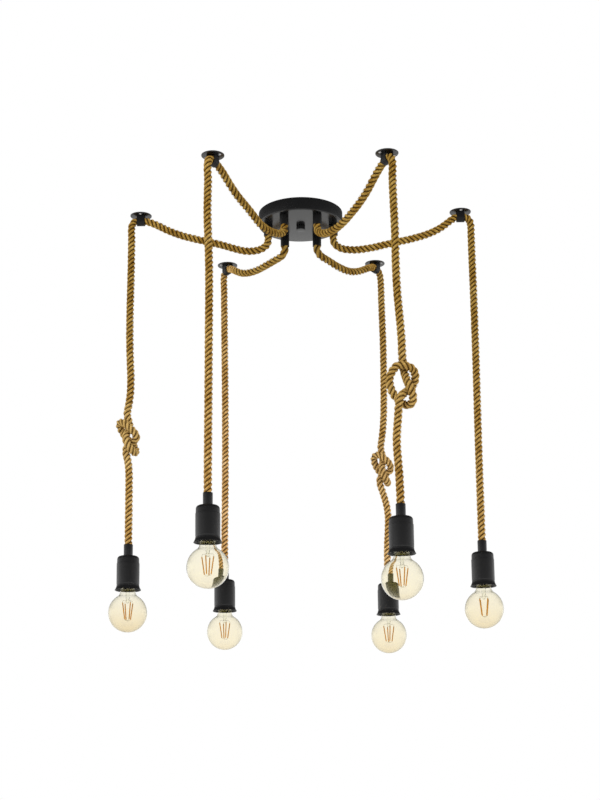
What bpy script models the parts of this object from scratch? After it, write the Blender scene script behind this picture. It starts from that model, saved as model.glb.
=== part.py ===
# Six-arm cluster pendant light: a round ceiling canopy, six ropes that sag out
# to ceiling hooks and hang down from them, and six lampholders with globe bulbs.
# Metres, +Z up. The origin is the centre of the canopy on the ceiling plane,
# so everything hangs at negative Z. The front of the light faces -Y.

import math

import bmesh
import bpy
import numpy as np
from mathutils import Matrix, Vector

# Clearances
FIT_GAP = 0.0003          # between pieces that touch
THREAD_GAP = 0.0004       # round the cap of a bulb in its lampholder
CUT_OVERRUN = 0.002       # how far a cutter stands past the face it cuts
WELD_DISTANCE = 0.000001  # doubles merged after a turned profile is spun

# Smoothness: sides round each kind of turned piece
CANOPY_SIDES = 36
CUP_SIDES = 16
GLASS_SIDES = 14
DISC_SIDES = 18
SMALL_SIDES = 12
HOLE_SIDES = 6
NUT_SIDES = 6
CORNER_STEPS = 2           # chords of an outer rounded corner
INNER_CORNER_STEPS = 1     # and of the same corner inside the wall
ROUND_END_STEPS = 6
SLOT_END_STEPS = 2
SHARP_ANGLE = math.radians(32)

# Canopy: a spun steel pan, open towards the ceiling
CANOPY_R = 0.090
CANOPY_DEPTH = 0.028
CANOPY_WALL = 0.0015
CANOPY_CORNER_R = 0.0045

# Crossbar, screwed to the ceiling inside the canopy
CROSSBAR_LENGTH = 0.130
CROSSBAR_WIDTH = 0.020
CROSSBAR_THICK = 0.0025
CROSSBAR_SLOT_LENGTH = 0.022
CROSSBAR_SLOT_WIDTH = 0.005
CROSSBAR_SLOT_OFFSET = 0.047

# Centre rod and the finial nut that holds the canopy up
ROD_R = 0.004
FINIAL_R = 0.0095
FINIAL_HEIGHT = 0.009
FINIAL_DOME_SHARE = 0.45
FINIAL_BORE_DEPTH = 0.006

# Terminal block under the crossbar
BLOCK_LENGTH = 0.026
BLOCK_WIDTH = 0.017
BLOCK_HEIGHT = 0.013
BLOCK_OFFSET = 0.020
BLOCK_POLES = 3
BLOCK_WIRE_R = 0.0021
BLOCK_CHAMFER = 0.0012

# Rope and its cord grips
ROPE_R = 0.0075
ROPE_BEVEL_STEPS = 2
RING_TURN = math.radians(20)  # a ring of the tube for each such turn of the rope
RING_SPACING = 0.032          # and at least one for each such length
ROUTE_STEP = 0.001
ROPE_LEAD = 0.003             # straight rope past the mouth of a cord grip
GRIP_WALL = 0.0013
STUB_R = 0.005

CANOPY_GRIP_RING_R = 0.070
CANOPY_GRIP_HEIGHT = 0.0222
CANOPY_GRIP_BORE = 0.012
GRIP_NUT_R = 0.0085
GRIP_NUT_HEIGHT = 0.005
STUB_END = 0.002              # thread that shows past the nut

# Ceiling hooks: a screwed disc with a U-shaped strap for the rope
HOOK_RING_R = 0.344
HOOK_DISC_R = 0.023
HOOK_DISC_THICK = 0.002
HOOK_STRAP_WIDTH = 0.017
HOOK_STRAP_THICK = 0.0015
HOOK_STRAP_DROP = 0.0230
HOOK_STRAP_PLAY = 0.0008
HOOK_STRAP_STEPS = 6
HOOK_SCREW_R = 0.0019
HOOK_SCREW_OFFSET = 0.0160

# Pendants: where the rope turns plumb below the hook
PIVOT_DROP = 0.055

# Lamp cups, measured up from the lip
CUP_HEIGHT = 0.0705
CUP_R = 0.0235
CUP_WALL = 0.0015
CUP_BAND_R = 0.0220
CUP_BAND_HEIGHT = 0.015
CUP_SHOULDER_R = 0.0065
CUP_LIP_R = 0.0270
CUP_FLARE_HEIGHT = 0.012
CUP_FLARE_STEPS = 2
CUP_STEP_DROP = 0.0010
LAMP_GRIP_HEIGHT = 0.0245
LAMP_GRIP_BORE = 0.014

# Lampholder for a 27 mm screw cap, hidden in the cup
HOLDER_R = 0.0190
HOLDER_NECK_R = 0.0140
HOLDER_NECK_HEIGHT = 0.009
HOLDER_TAPER = 0.006
HOLDER_MOUTH = 0.006          # mouth of the holder above the lip of the cup
HOLDER_STUB_DEPTH = 0.008

# Bulb: an 80 mm globe on a screw cap
GLOBE_R = 0.040
GLOBE_DROP = 0.0475           # centre of the globe below the lip of the cup
GLASS_WALL = 0.0010
NECK_R = 0.0160
NECK_FILLET_R = 0.012
NECK_END = 0.0110             # end of the glass above the lip, inside the cap
NECK_SHOULDER = 0.0010
GLOBE_STEPS = 6
INNER_GLOBE_STEPS = 4
FILLET_STEPS = 2
CAP_R = 0.0132
CAP_WALL = 0.0007
CAP_EDGE = 0.0040             # edge of the cap above the lip
CAP_HEIGHT = 0.0270
CAP_TAPER = 0.0050
CAP_TIP_R = 0.0070
CAP_FLOOR = 0.0100

# Stem and filaments inside the globe
STEM_R = 0.0052
STEM_END = 0.0280             # below the lip, past the top wires
STEM_TIP = 0.0040
FILAMENTS = 4
FILAMENT_R = 0.0011
FILAMENT_TOP = 0.0210         # above the centre of the globe
FILAMENT_BOTTOM = 0.0135      # below the centre of the globe
FILAMENT_TOP_SPREAD = 0.0105
FILAMENT_BOTTOM_SPREAD = 0.0062
WIRE_R = 0.0007
WIRE_SIDES = 3
WIRE_SPACING = 0.0022         # between the two wires that cross below the stem

# The six arms: azimuth in degrees from +X, seen from above
ARM_AZIMUTH = {
    "right": 0,
    "back_right": 60,
    "back_left": 120,
    "left": 180,
    "front_left": 240,
    "front_right": 300,
}
# Distance of each lamp from the centre, where its rope hangs plumb
LAMP_RADIUS = {
    "right": 0.366,
    "back_right": 0.3735,
    "back_left": 0.361,
    "left": 0.3635,
    "front_left": 0.361,
    "front_right": 0.362,
}
# Lip of each lamp cup below the ceiling
LIP_DROP = {
    "right": 0.8185,
    "back_right": 0.8245,
    "back_left": 0.8142,
    "left": 0.818,
    "front_left": 0.7835,
    "front_right": 0.8095,
}

# Rope from the canopy to the hook, as (distance from centre, height), by hand
RUN_ROUTE = {
    "right": [(0.0712, -0.066), (0.082, -0.0775), (0.105, -0.0835), (0.140, -0.0815),
              (0.187, -0.0715), (0.224, -0.0635), (0.281, -0.0465), (0.311, -0.0290),
              (0.3275, -0.0163)],
    "back_right": [(0.0737, -0.0625), (0.084, -0.0666), (0.116, -0.0672), (0.150, -0.0672),
                   (0.184, -0.0655), (0.231, -0.0570), (0.280, -0.0375), (0.310, -0.0225),
                   (0.3275, -0.0147)],
    "back_left": [(0.0737, -0.0625), (0.084, -0.0665), (0.110, -0.0665), (0.140, -0.0650),
                  (0.194, -0.0615), (0.246, -0.0520), (0.286, -0.0370), (0.313, -0.0222),
                  (0.3275, -0.0148)],
    "left": [(0.0712, -0.066), (0.082, -0.0775), (0.098, -0.0830), (0.120, -0.0832),
             (0.155, -0.0735), (0.207, -0.0595), (0.255, -0.0465), (0.292, -0.0310),
             (0.314, -0.0197), (0.3285, -0.0141)],
    "front_left": [(0.0712, -0.063), (0.084, -0.0735), (0.104, -0.0805), (0.132, -0.0845),
                   (0.164, -0.0828), (0.204, -0.0688), (0.242, -0.0565), (0.276, -0.0420),
                   (0.307, -0.0242), (0.3275, -0.0150)],
    "front_right": [(0.0712, -0.063), (0.083, -0.0735), (0.102, -0.0810), (0.135, -0.0862),
                    (0.167, -0.0848), (0.210, -0.0745), (0.266, -0.0525), (0.305, -0.0272),
                    (0.3275, -0.0154)],
}
# Rope over the hook and down to where it hangs plumb, by hand
BEND_ROUTE = {
    "right": [(0.3370, -0.0119), (0.3445, -0.0109), (0.3528, -0.0121), (0.3610, -0.0170),
              (0.3655, -0.0285), (0.3663, -0.042)],
    "back_right": [(0.3370, -0.0120), (0.3450, -0.0110), (0.3535, -0.0121),
                   (0.3640, -0.0168), (0.3715, -0.0300)],
    "back_left": [(0.3365, -0.0120), (0.3440, -0.0112), (0.3520, -0.0124),
                  (0.3589, -0.0166), (0.3622, -0.0262), (0.3624, -0.041)],
    "left": [(0.3370, -0.0119), (0.3445, -0.0111), (0.3525, -0.0123), (0.3600, -0.0168),
             (0.3636, -0.0270), (0.3640, -0.041)],
    "front_left": [(0.3365, -0.0120), (0.3440, -0.0112), (0.3520, -0.0124),
                   (0.3589, -0.0166), (0.3621, -0.0262), (0.3622, -0.041)],
    "front_right": [(0.3365, -0.0120), (0.3440, -0.0112), (0.3522, -0.0124),
                    (0.3593, -0.0166), (0.3628, -0.0265), (0.3631, -0.041)],
}
# Hanging rope as (to the right, towards the front, height), by hand: it starts
# and ends on the plumb line, and three of the ropes carry an overhand knot
OPEN_KNOT = [(0.002, 0, 0.075), (0.003, -0.004, 0.046), (0.005, -0.0085, 0.031),
             (0.008, -0.0015, 0.014), (0.014, 0.0085, -0.007), (0.020, 0.0065, -0.026),
             (0.017, 0, -0.039), (0.006, -0.007, -0.039), (-0.006, -0.0095, -0.0295),
             (-0.016, -0.006, -0.018), (-0.0225, -0.001, -0.002), (-0.023, 0.001, 0.010),
             (-0.017, 0.004, 0.025), (-0.0053, 0.0075, 0.035), (0.007, 0.008, 0.0335),
             (0.0205, 0.0035, 0.028), (0.026, -0.0025, 0.015), (0.023, -0.0075, 0.002),
             (0.0145, -0.008, -0.008), (0.006, -0.002, -0.017), (-0.002, 0.007, -0.026),
             (-0.007, 0.006, -0.044), (-0.0085, 0.002, -0.062)]
TIGHT_KNOT = [(0, 0, 0.064), (-0.001, -0.004, 0.044), (-0.001, -0.009, 0.029),
              (0.002, -0.003, 0.011), (0.008, 0.009, -0.005), (0.011, 0.010, -0.020),
              (0.009, 0.001, -0.033), (0.001, -0.009, -0.035), (-0.009, -0.013, -0.024),
              (-0.016, -0.008, -0.009), (-0.018, 0, 0.005), (-0.014, 0.007, 0.018),
              (-0.005, 0.011, 0.027), (0.007, 0.009, 0.027), (0.016, 0.003, 0.019),
              (0.019, -0.006, 0.007), (0.012, -0.012, -0.006), (0.003, -0.005, -0.014),
              (-0.005, 0.006, -0.023), (-0.006, 0.008, -0.038), (-0.003, 0.003, -0.052)]
DROP_ROUTE = {
    "right": [(0.0005, 0, -0.150), (0.0008, 0.001, -0.310), (0, 0, -0.520)],
    "back_right": [(0.0015, 0, -0.165), (0.0005, 0, -0.320)],
    "back_left": [(0.0005, 0, -0.150), (0.002, 0.001, -0.330), (0.0015, 0, -0.540)],
    "left": [(-0.0008, 0, -0.150), (-0.0005, 0, -0.320)],
    "front_left": [(-0.001, 0, -0.115), (0.0015, 0, -0.210), (0.002, 0, -0.345),
                   (0.001, 0, -0.520)],
    "front_right": [(0.002, 0, -0.160), (0.0035, 0, -0.290)],
}
# Each knot: its points, its middle, its turn about the plumb line, and how far
# it leans to the left for its height above the middle
KNOT = {
    "back_right": (TIGHT_KNOT, (-0.007, 0, -0.485), math.radians(50), 0.20),
    "left": (TIGHT_KNOT, (-0.003, 0, -0.491), math.radians(66), 0.27),
    "front_right": (OPEN_KNOT, (0.008, 0, -0.480), 0, 0),
}
KNOT_REACH = 0.060                # above and below this the rope doesn't lean
KNOT_EXIT = {
    "back_right": [(0.003, 0, -0.585), (0.002, 0, -0.650)],
    "left": [(0, 0, -0.585)],
    "front_right": [(-0.004, 0, -0.585), (-0.002, 0, -0.640)],
}


def material(name, color, roughness, metallic=0.0, transmission=0.0):
    """A plain finish for one kind of piece."""
    finish = bpy.data.materials.new(name)
    finish.use_nodes = True
    shader = finish.node_tree.nodes["Principled BSDF"]
    shader.inputs["Base Color"].default_value = (*color, 1.0)
    shader.inputs["Roughness"].default_value = roughness
    shader.inputs["Metallic"].default_value = metallic
    shader.inputs["Transmission Weight"].default_value = transmission
    return finish


def clear_corner(radius, sides):
    """Radius of a polygon whose flats stand at the given radius."""
    return radius / math.cos(math.pi / sides)


def arc(center, radius, start, end, steps):
    """Points of an arc in the profile plane, angles in degrees from outwards."""
    points = []
    for i in range(steps + 1):
        angle = math.radians(start + (end - start) * i / steps)
        points.append((center[0] + radius * math.cos(angle),
                       center[1] + radius * math.sin(angle)))
    return points


def turned(name, profile, sides, closed):
    """A mesh of revolution about Z from (radius, height) points."""
    bm = bmesh.new()
    verts = [bm.verts.new((radius, 0, height)) for radius, height in profile]
    pairs = list(zip(verts, verts[1:]))
    if closed:
        pairs.append((verts[-1], verts[0]))
    edges = [bm.edges.new(pair) for pair in pairs]
    bmesh.ops.spin(bm, geom=verts + edges, cent=(0, 0, 0), axis=(0, 0, 1),
                   angle=math.tau, steps=sides, use_merge=True)
    return finished(name, bm)


def prism(name, outline, sides_axis, start, end):
    """A flat outline swept along one axis, 0 for X and 2 for Z."""
    bm = bmesh.new()
    verts = []
    for u, v in outline:
        place = (start, u, v) if sides_axis == 0 else (u, v, start)
        verts.append(bm.verts.new(place))
    face = bm.faces.new(verts)
    swept = bmesh.ops.extrude_face_region(bm, geom=[face])
    moved = [item for item in swept["geom"] if isinstance(item, bmesh.types.BMVert)]
    shift = Vector((end - start, 0, 0)) if sides_axis == 0 else Vector((0, 0, end - start))
    bmesh.ops.translate(bm, verts=moved, vec=shift)
    return finished(name, bm)


def finished(name, bm):
    """The mesh of a bmesh, with doubles merged and its faces turned outwards."""
    bmesh.ops.remove_doubles(bm, verts=bm.verts, dist=WELD_DISTANCE)
    bmesh.ops.recalc_face_normals(bm, faces=bm.faces)
    mesh = bpy.data.meshes.new(name)
    bm.to_mesh(mesh)
    bm.free()
    return mesh


def round_bar(name, radius, sides, start, end, turn=0.0):
    """A straight round or many-sided bar between two places."""
    start, end = Vector(start), Vector(end)
    bm = bmesh.new()
    bmesh.ops.create_cone(bm, cap_ends=True, segments=sides, radius1=radius,
                          radius2=radius, depth=(end - start).length)
    lean = (end - start).to_track_quat("Z", "Y").to_matrix().to_4x4()
    place = Matrix.Translation((start + end) / 2) @ lean @ Matrix.Rotation(turn, 4, "Z")
    bmesh.ops.transform(bm, verts=bm.verts, matrix=place)
    return finished(name, bm)


def joined(name, meshes):
    """Several meshes in one, each still a body of its own, for use as a cutter."""
    bm = bmesh.new()
    for mesh in meshes:
        bm.from_mesh(mesh)
    return finished(name, bm)


def combined(base, other, operation):
    """The exact Boolean of two meshes, as a new mesh."""
    body = bpy.data.objects.new(base.name, base)
    tool = bpy.data.objects.new(other.name, other)
    for piece in (body, tool):
        bpy.context.collection.objects.link(piece)
    cut = body.modifiers.new("cut", "BOOLEAN")
    cut.operation = operation
    cut.solver = "EXACT"
    cut.object = tool
    graph = bpy.context.evaluated_depsgraph_get()
    mesh = bpy.data.meshes.new_from_object(body.evaluated_get(graph))
    mesh.name = base.name
    for piece in (body, tool):
        bpy.data.objects.remove(piece)
    return mesh


def shaded(mesh):
    """Smooth shading with its real edges kept."""
    mesh.shade_smooth()
    mesh.set_sharp_from_angle(angle=SHARP_ANGLE)
    return mesh


def place(name, data, finish, parent=None, location=(0, 0, 0), turn=0.0):
    """An object of the model, under its parent."""
    piece = bpy.data.objects.new(name, data)
    if data is not None:
        if not data.materials:
            data.materials.append(finish)
    bpy.context.collection.objects.link(piece)
    piece.parent = parent
    piece.location = location
    piece.rotation_euler = (0, 0, turn)
    return piece


def canopy_mesh():
    """The spun pan with a hole for the rod and six for the cord grips."""
    corner = CANOPY_CORNER_R
    wall = CANOPY_WALL
    hole = clear_corner(ROD_R + FIT_GAP, CANOPY_SIDES)
    middle = (CANOPY_R - corner, corner - CANOPY_DEPTH)
    outer = arc(middle, corner, -90, 0, CORNER_STEPS)
    inner = arc(middle, corner - wall, 0, -90, INNER_CORNER_STEPS)
    profile = [(hole, -CANOPY_DEPTH)] + outer
    profile += [(CANOPY_R, 0), (CANOPY_R - wall, 0)] + inner
    profile += [(hole, wall - CANOPY_DEPTH)]
    pan = turned("canopy", profile, CANOPY_SIDES, closed=True)
    radius = clear_corner(STUB_R + FIT_GAP, SMALL_SIDES)
    cutters = []
    for azimuth in ARM_AZIMUTH.values():
        x = CANOPY_GRIP_RING_R * math.cos(math.radians(azimuth))
        y = CANOPY_GRIP_RING_R * math.sin(math.radians(azimuth))
        cutters.append(round_bar("grip_hole", radius, SMALL_SIDES,
                                 (x, y, -CANOPY_DEPTH - CUT_OVERRUN),
                                 (x, y, wall - CANOPY_DEPTH + CUT_OVERRUN)))
    return shaded(combined(pan, joined("grip_holes", cutters), "DIFFERENCE"))


def crossbar_mesh():
    """A flat bar along Y with a hole for the rod and two slots for its screws."""
    half = CROSSBAR_WIDTH / 2
    straight = CROSSBAR_LENGTH / 2 - half
    outline = arc((0, straight), half, 0, 180, ROUND_END_STEPS)
    outline += arc((0, -straight), half, 180, 360, ROUND_END_STEPS)
    bar = prism("crossbar", outline, 2, -CROSSBAR_THICK, 0)
    low, high = -CROSSBAR_THICK - CUT_OVERRUN, CUT_OVERRUN
    cutters = [round_bar("rod_hole", clear_corner(ROD_R + FIT_GAP, SMALL_SIDES),
                         SMALL_SIDES, (0, 0, low), (0, 0, high))]
    end_r = CROSSBAR_SLOT_WIDTH / 2
    reach = CROSSBAR_SLOT_LENGTH / 2 - end_r
    for side in (-1, 1):
        y = side * CROSSBAR_SLOT_OFFSET
        slot = arc((0, y + reach), end_r, 0, 180, SLOT_END_STEPS)
        slot += arc((0, y - reach), end_r, 180, 360, SLOT_END_STEPS)
        cutters.append(prism("slot", slot, 2, low, high))
    return shaded(combined(bar, joined("crossbar_cuts", cutters), "DIFFERENCE"))


def finial_mesh():
    """A domed blind nut, its bore open upwards."""
    top = -CANOPY_DEPTH - FIT_GAP
    bottom = top - FINIAL_HEIGHT
    bore = clear_corner(ROD_R + FIT_GAP, SMALL_SIDES)
    dome = FINIAL_HEIGHT * FINIAL_DOME_SHARE
    profile = [(bore, top), (FINIAL_R, top), (FINIAL_R, bottom + dome)]
    for share in (1 / 3, 2 / 3):
        angle = math.radians(90 * share)
        profile.append((FINIAL_R * math.cos(angle), bottom + dome * (1 - math.sin(angle))))
    profile += [(0, bottom), (0, top - FINIAL_BORE_DEPTH), (bore, top - FINIAL_BORE_DEPTH)]
    return shaded(turned("finial_nut", profile + [profile[0]], SMALL_SIDES, closed=False))


def rod_mesh():
    """The plain rod from the ceiling to the floor of the finial's bore."""
    bottom = -CANOPY_DEPTH - FINIAL_BORE_DEPTH
    return shaded(turned("threaded_rod", [(0, bottom), (ROD_R, bottom), (ROD_R, 0), (0, 0)],
                         SMALL_SIDES, closed=False))


def block_mesh():
    """A moulded block with a wire way through it for each pole."""
    half = BLOCK_WIDTH / 2
    top = -CROSSBAR_THICK - FIT_GAP
    low = top - BLOCK_HEIGHT
    cut = BLOCK_CHAMFER
    outline = [(-half, top), (-half, low + cut), (cut - half, low), (half - cut, low),
               (half, low + cut), (half, top)]
    block = prism("terminal_block", outline, 0, BLOCK_OFFSET - BLOCK_LENGTH / 2,
                  BLOCK_OFFSET + BLOCK_LENGTH / 2)
    block.transform(Matrix.Rotation(math.radians(90), 4, "Z"))
    pitch = BLOCK_LENGTH / BLOCK_POLES
    middle = low + BLOCK_HEIGHT / 2
    ways = []
    for i in range(BLOCK_POLES):
        y = BLOCK_OFFSET + pitch * (i - (BLOCK_POLES - 1) / 2)
        ways.append(round_bar("wire_way", BLOCK_WIRE_R, HOLE_SIDES,
                              (-half - CUT_OVERRUN, y, middle),
                              (half + CUT_OVERRUN, y, middle)))
    return shaded(combined(block, joined("wire_ways", ways), "DIFFERENCE"))


def grip_radii():
    """Outer and bore radius of a cord grip, from the rope."""
    bore = clear_corner(ROPE_R + FIT_GAP, SMALL_SIDES)
    return bore + GRIP_WALL, bore


def canopy_grip_mesh():
    """A cord grip under the canopy, its threaded stub and nut above the sheet.
    Z = 0 is the underside of the canopy."""
    outer, bore = grip_radii()
    top = -FIT_GAP
    low = top - CANOPY_GRIP_HEIGHT
    nut_low = CANOPY_WALL + FIT_GAP
    nut_top = nut_low + GRIP_NUT_HEIGHT
    end = nut_top + STUB_END
    floor = low + CANOPY_GRIP_BORE
    profile = [(0, end), (STUB_R, end), (STUB_R, top), (outer, top), (outer, low),
               (bore, low), (bore, floor), (0, floor)]
    grip = turned("canopy_grip", profile, SMALL_SIDES, closed=False)
    nut = round_bar("grip_nut", GRIP_NUT_R, NUT_SIDES, (0, 0, nut_low), (0, 0, nut_top))
    return shaded(combined(grip, nut, "UNION"))


def hook_mesh():
    """Ceiling disc with a U strap; the rope passes through along X.
    Z = 0 is the ceiling."""
    thick = HOOK_DISC_THICK
    disc = round_bar("ceiling_hook", HOOK_DISC_R, DISC_SIDES, (0, 0, -thick), (0, 0, 0))
    inner = ROPE_R + HOOK_STRAP_PLAY
    outer = inner + HOOK_STRAP_THICK
    middle = outer - HOOK_STRAP_DROP
    buried = -thick / 2
    steps = HOOK_STRAP_STEPS
    outline = [(-outer, buried)] + arc((0, middle), outer, 180, 360, steps) + [(outer, buried)]
    outline += [(inner, buried)] + arc((0, middle), inner, 360, 180, steps) + [(-inner, buried)]
    half = HOOK_STRAP_WIDTH / 2
    strap = prism("strap", outline, 0, -half, half)
    screws = []
    for side in (-1, 1):
        y = side * HOOK_SCREW_OFFSET
        screws.append(round_bar("screw_hole", HOOK_SCREW_R, HOLE_SIDES,
                                (0, y, -thick - CUT_OVERRUN), (0, y, CUT_OVERRUN)))
    plate = combined(disc, joined("screw_holes", screws), "DIFFERENCE")
    return shaded(combined(plate, strap, "UNION"))


def cup_mesh():
    """The shell round the lampholder: shoulder, band, body and flared lip.
    Z = 0 is the lip."""
    hole = clear_corner(STUB_R + FIT_GAP, CUP_SIDES)
    shoulder = (CUP_BAND_R - CUP_SHOULDER_R, CUP_HEIGHT - CUP_SHOULDER_R)
    step = CUP_HEIGHT - CUP_BAND_HEIGHT
    wall = CUP_WALL
    profile = [(hole, CUP_HEIGHT)] + arc(shoulder, CUP_SHOULDER_R, 90, 0, CORNER_STEPS)
    profile += [(CUP_BAND_R, step), (CUP_R, step - CUP_STEP_DROP)]
    profile += flare(CUP_R, CUP_LIP_R)
    profile += flare(CUP_R - wall, CUP_LIP_R - wall)[::-1]
    profile += [(CUP_R - wall, step - wall)]
    profile += arc(shoulder, CUP_SHOULDER_R - wall, 0, 90, INNER_CORNER_STEPS)
    profile += [(hole, CUP_HEIGHT - wall)]
    return shaded(turned("lamp_cup", profile, CUP_SIDES, closed=True))


def flare(body, lip):
    """The curved flare from the body down to the lip, top to bottom."""
    points = []
    for i in range(CUP_FLARE_STEPS + 1):
        share = i / CUP_FLARE_STEPS
        points.append((body + (lip - body) * share ** 2, CUP_FLARE_HEIGHT * (1 - share)))
    return points


def lamp_grip_mesh():
    """The cord grip on top of a lamp cup, with the stub that carries the cup
    and the lampholder. Z = 0 is the lip of the cup."""
    outer, bore = grip_radii()
    low = CUP_HEIGHT + FIT_GAP
    top = low + LAMP_GRIP_HEIGHT
    floor = top - LAMP_GRIP_BORE
    stub = CUP_HEIGHT - CUP_WALL - HOLDER_STUB_DEPTH
    profile = [(0, stub), (STUB_R, stub), (STUB_R, low), (outer, low), (outer, top),
               (bore, top), (bore, floor), (0, floor)]
    return shaded(turned("lamp_grip", profile, SMALL_SIDES, closed=False))


def holder_mesh():
    """The lampholder: screwed onto the stub above, open to the bulb below.
    Z = 0 is the lip of the cup."""
    top = CUP_HEIGHT - CUP_WALL - FIT_GAP
    stub_r = clear_corner(STUB_R + FIT_GAP, SMALL_SIDES)
    stub_floor = CUP_HEIGHT - CUP_WALL - HOLDER_STUB_DEPTH - FIT_GAP
    bore = clear_corner(CAP_R + THREAD_GAP, SMALL_SIDES)
    bore_top = CAP_EDGE + CAP_HEIGHT + FIT_GAP
    taper = top - HOLDER_NECK_HEIGHT
    profile = [(0, stub_floor), (stub_r, stub_floor), (stub_r, top), (HOLDER_NECK_R, top),
               (HOLDER_NECK_R, taper), (HOLDER_R, taper - HOLDER_TAPER),
               (HOLDER_R, HOLDER_MOUTH), (bore, HOLDER_MOUTH), (bore, bore_top),
               (0, bore_top)]
    return shaded(turned("lampholder", profile, SMALL_SIDES, closed=False))


def glass_outline(offset, steps, neck_end):
    """The globe, its fillet and its neck, from the bottom pole upwards."""
    globe = GLOBE_R - offset
    fillet = NECK_FILLET_R + offset
    neck = NECK_R - offset
    reach = GLOBE_R + NECK_FILLET_R
    away = NECK_R + NECK_FILLET_R
    rise = math.sqrt(reach ** 2 - away ** 2)
    meet = math.degrees(math.atan2(rise, away))
    points = []
    for i in range(steps + 1):
        angle = math.radians(-90 + (meet + 90) * i / steps)
        points.append((globe * math.cos(angle), globe * math.sin(angle) - GLOBE_DROP))
    points[0] = (0, -globe - GLOBE_DROP)
    center = (away, rise - GLOBE_DROP)
    points += arc(center, fillet, 180 + meet, 180, FILLET_STEPS)[1:]
    points.append((neck, NECK_SHOULDER))
    throat = CAP_R - CAP_WALL - FIT_GAP * 2 - offset
    points.append((throat, CAP_EDGE - FIT_GAP))
    points.append((throat, neck_end))
    return points


def glass_mesh():
    """The blown glass, open at the neck end, inside the cap. Z = 0 is the lip."""
    outer = glass_outline(0, GLOBE_STEPS, NECK_END)
    inner = glass_outline(GLASS_WALL, INNER_GLOBE_STEPS, NECK_END)
    return shaded(turned("bulb_glass", outer + inner[::-1], GLASS_SIDES, closed=False))


def bulb_base_mesh():
    """Screw cap, glass stem and the filaments on their wires.
    Z = 0 is the lip of the cup."""
    tip = CAP_EDGE + CAP_HEIGHT
    inside = CAP_R - CAP_WALL
    floor = CAP_EDGE + CAP_FLOOR
    profile = [(0, tip), (CAP_TIP_R, tip), (CAP_R, tip - CAP_TAPER), (CAP_R, CAP_EDGE),
               (inside, CAP_EDGE), (inside, floor), (STEM_R, floor), (STEM_R, -STEM_END),
               (0, -STEM_END - STEM_TIP)]
    base = turned("bulb_base", profile, SMALL_SIDES, closed=False)
    for i in range(FILAMENTS // 2):
        angle = math.tau * (i + 1 / 2) / FILAMENTS
        base = combined(base, filament_mesh(angle, i * WIRE_SPACING), "UNION")
    return shaded(base)


def filament_mesh(angle, lower):
    """Two opposite filaments as one bent bar: out of the stem, down, across
    under the stem and up again."""
    way = Vector((math.cos(angle), math.sin(angle), 0))
    side = Vector((-way.y, way.x, 0))
    up = Vector((0, 0, 1))
    high = up * (FILAMENT_TOP - GLOBE_DROP)
    low = up * (-FILAMENT_BOTTOM - GLOBE_DROP - lower)
    top = way * FILAMENT_TOP_SPREAD
    bottom = way * FILAMENT_BOTTOM_SPREAD
    root = way * (STEM_R / 2)
    stations = [(high + root, up, WIRE_R), (high + top, up + way, FILAMENT_R),
                (low + bottom, way - up, FILAMENT_R), (low - bottom, -way - up, FILAMENT_R),
                (high - top, up - way, FILAMENT_R), (high - root, up, WIRE_R)]
    bm = bmesh.new()
    rings = []
    for middle, outwards, radius in stations:
        outwards = outwards.normalized()
        corners = [middle + outwards * radius,
                   middle - outwards * (radius / 2) + side * radius,
                   middle - outwards * (radius / 2) - side * radius]
        rings.append([bm.verts.new(corner) for corner in corners])
    for ring, after in zip(rings, rings[1:]):
        for i in range(WIRE_SIDES):
            j = (i + 1) % WIRE_SIDES
            bm.faces.new((ring[i], ring[j], after[j], after[i]))
    bm.faces.new(rings[0])
    bm.faces.new(rings[-1][::-1])
    return finished("filament", bm)


def smooth_route(points, start_way, end_way):
    """A clamped cubic spline through the points, read every ROUTE_STEP."""
    points = np.array(points, dtype=float)
    chords = np.diff(points, axis=0)
    spans = np.linalg.norm(chords, axis=1)
    slopes = chords / spans[:, None]
    matrix = np.eye(len(points))
    sides = np.zeros((len(points), 3))
    sides[0] = start_way
    sides[-1] = end_way
    for i in range(1, len(points) - 1):
        before, after = spans[i - 1], spans[i]
        matrix[i, i - 1:i + 2] = after, 2 * (before + after), before
        sides[i] = 3 * (after * slopes[i - 1] + before * slopes[i])
    ways = np.linalg.solve(matrix, sides)
    stretches = []
    for i, span in enumerate(spans):
        count = max(2, math.ceil(span / ROUTE_STEP))
        u = (np.arange(count) / count)[:, None]
        stretches.append((1 + 2 * u) * (1 - u) ** 2 * points[i]
                         + u * (1 - u) ** 2 * span * ways[i]
                         + u ** 2 * (3 - 2 * u) * points[i + 1]
                         + u ** 2 * (u - 1) * span * ways[i + 1])
    return np.vstack(stretches + [points[-1:]])


def tube_rings(path):
    """Places of the tube's rings: closer together where the rope turns, and
    two at each end so that its caps stand square."""
    steps = np.diff(path, axis=0)
    lengths = np.linalg.norm(steps, axis=1)
    ways = steps / lengths[:, None]
    turns = np.arccos(np.clip((ways[1:] * ways[:-1]).sum(axis=1), -1, 1))
    rings = [0, 1]
    turned_by = gone = 0.0
    for i in range(2, len(path) - 2):
        turned_by += turns[i - 1]
        gone += lengths[i - 1]
        if turned_by > RING_TURN or gone > RING_SPACING:
            rings.append(i)
            turned_by = gone = 0.0
    if lengths[rings[-1]:-1].sum() < ROPE_R:
        rings.pop()
    return path[rings + [len(path) - 2, len(path) - 1]]


def rope(name, path, finish, parent):
    """A round tube along the path, with closed ends."""
    rings = tube_rings(path)
    curve = bpy.data.curves.new(name, "CURVE")
    curve.dimensions = "3D"
    curve.bevel_depth = ROPE_R
    curve.bevel_resolution = ROPE_BEVEL_STEPS
    curve.use_fill_caps = True
    spline = curve.splines.new("POLY")
    spline.points.add(len(rings) - 1)
    for point, ring in zip(spline.points, rings):
        point.co = (*ring, 1)
    return place(name, curve, finish, parent)


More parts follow.
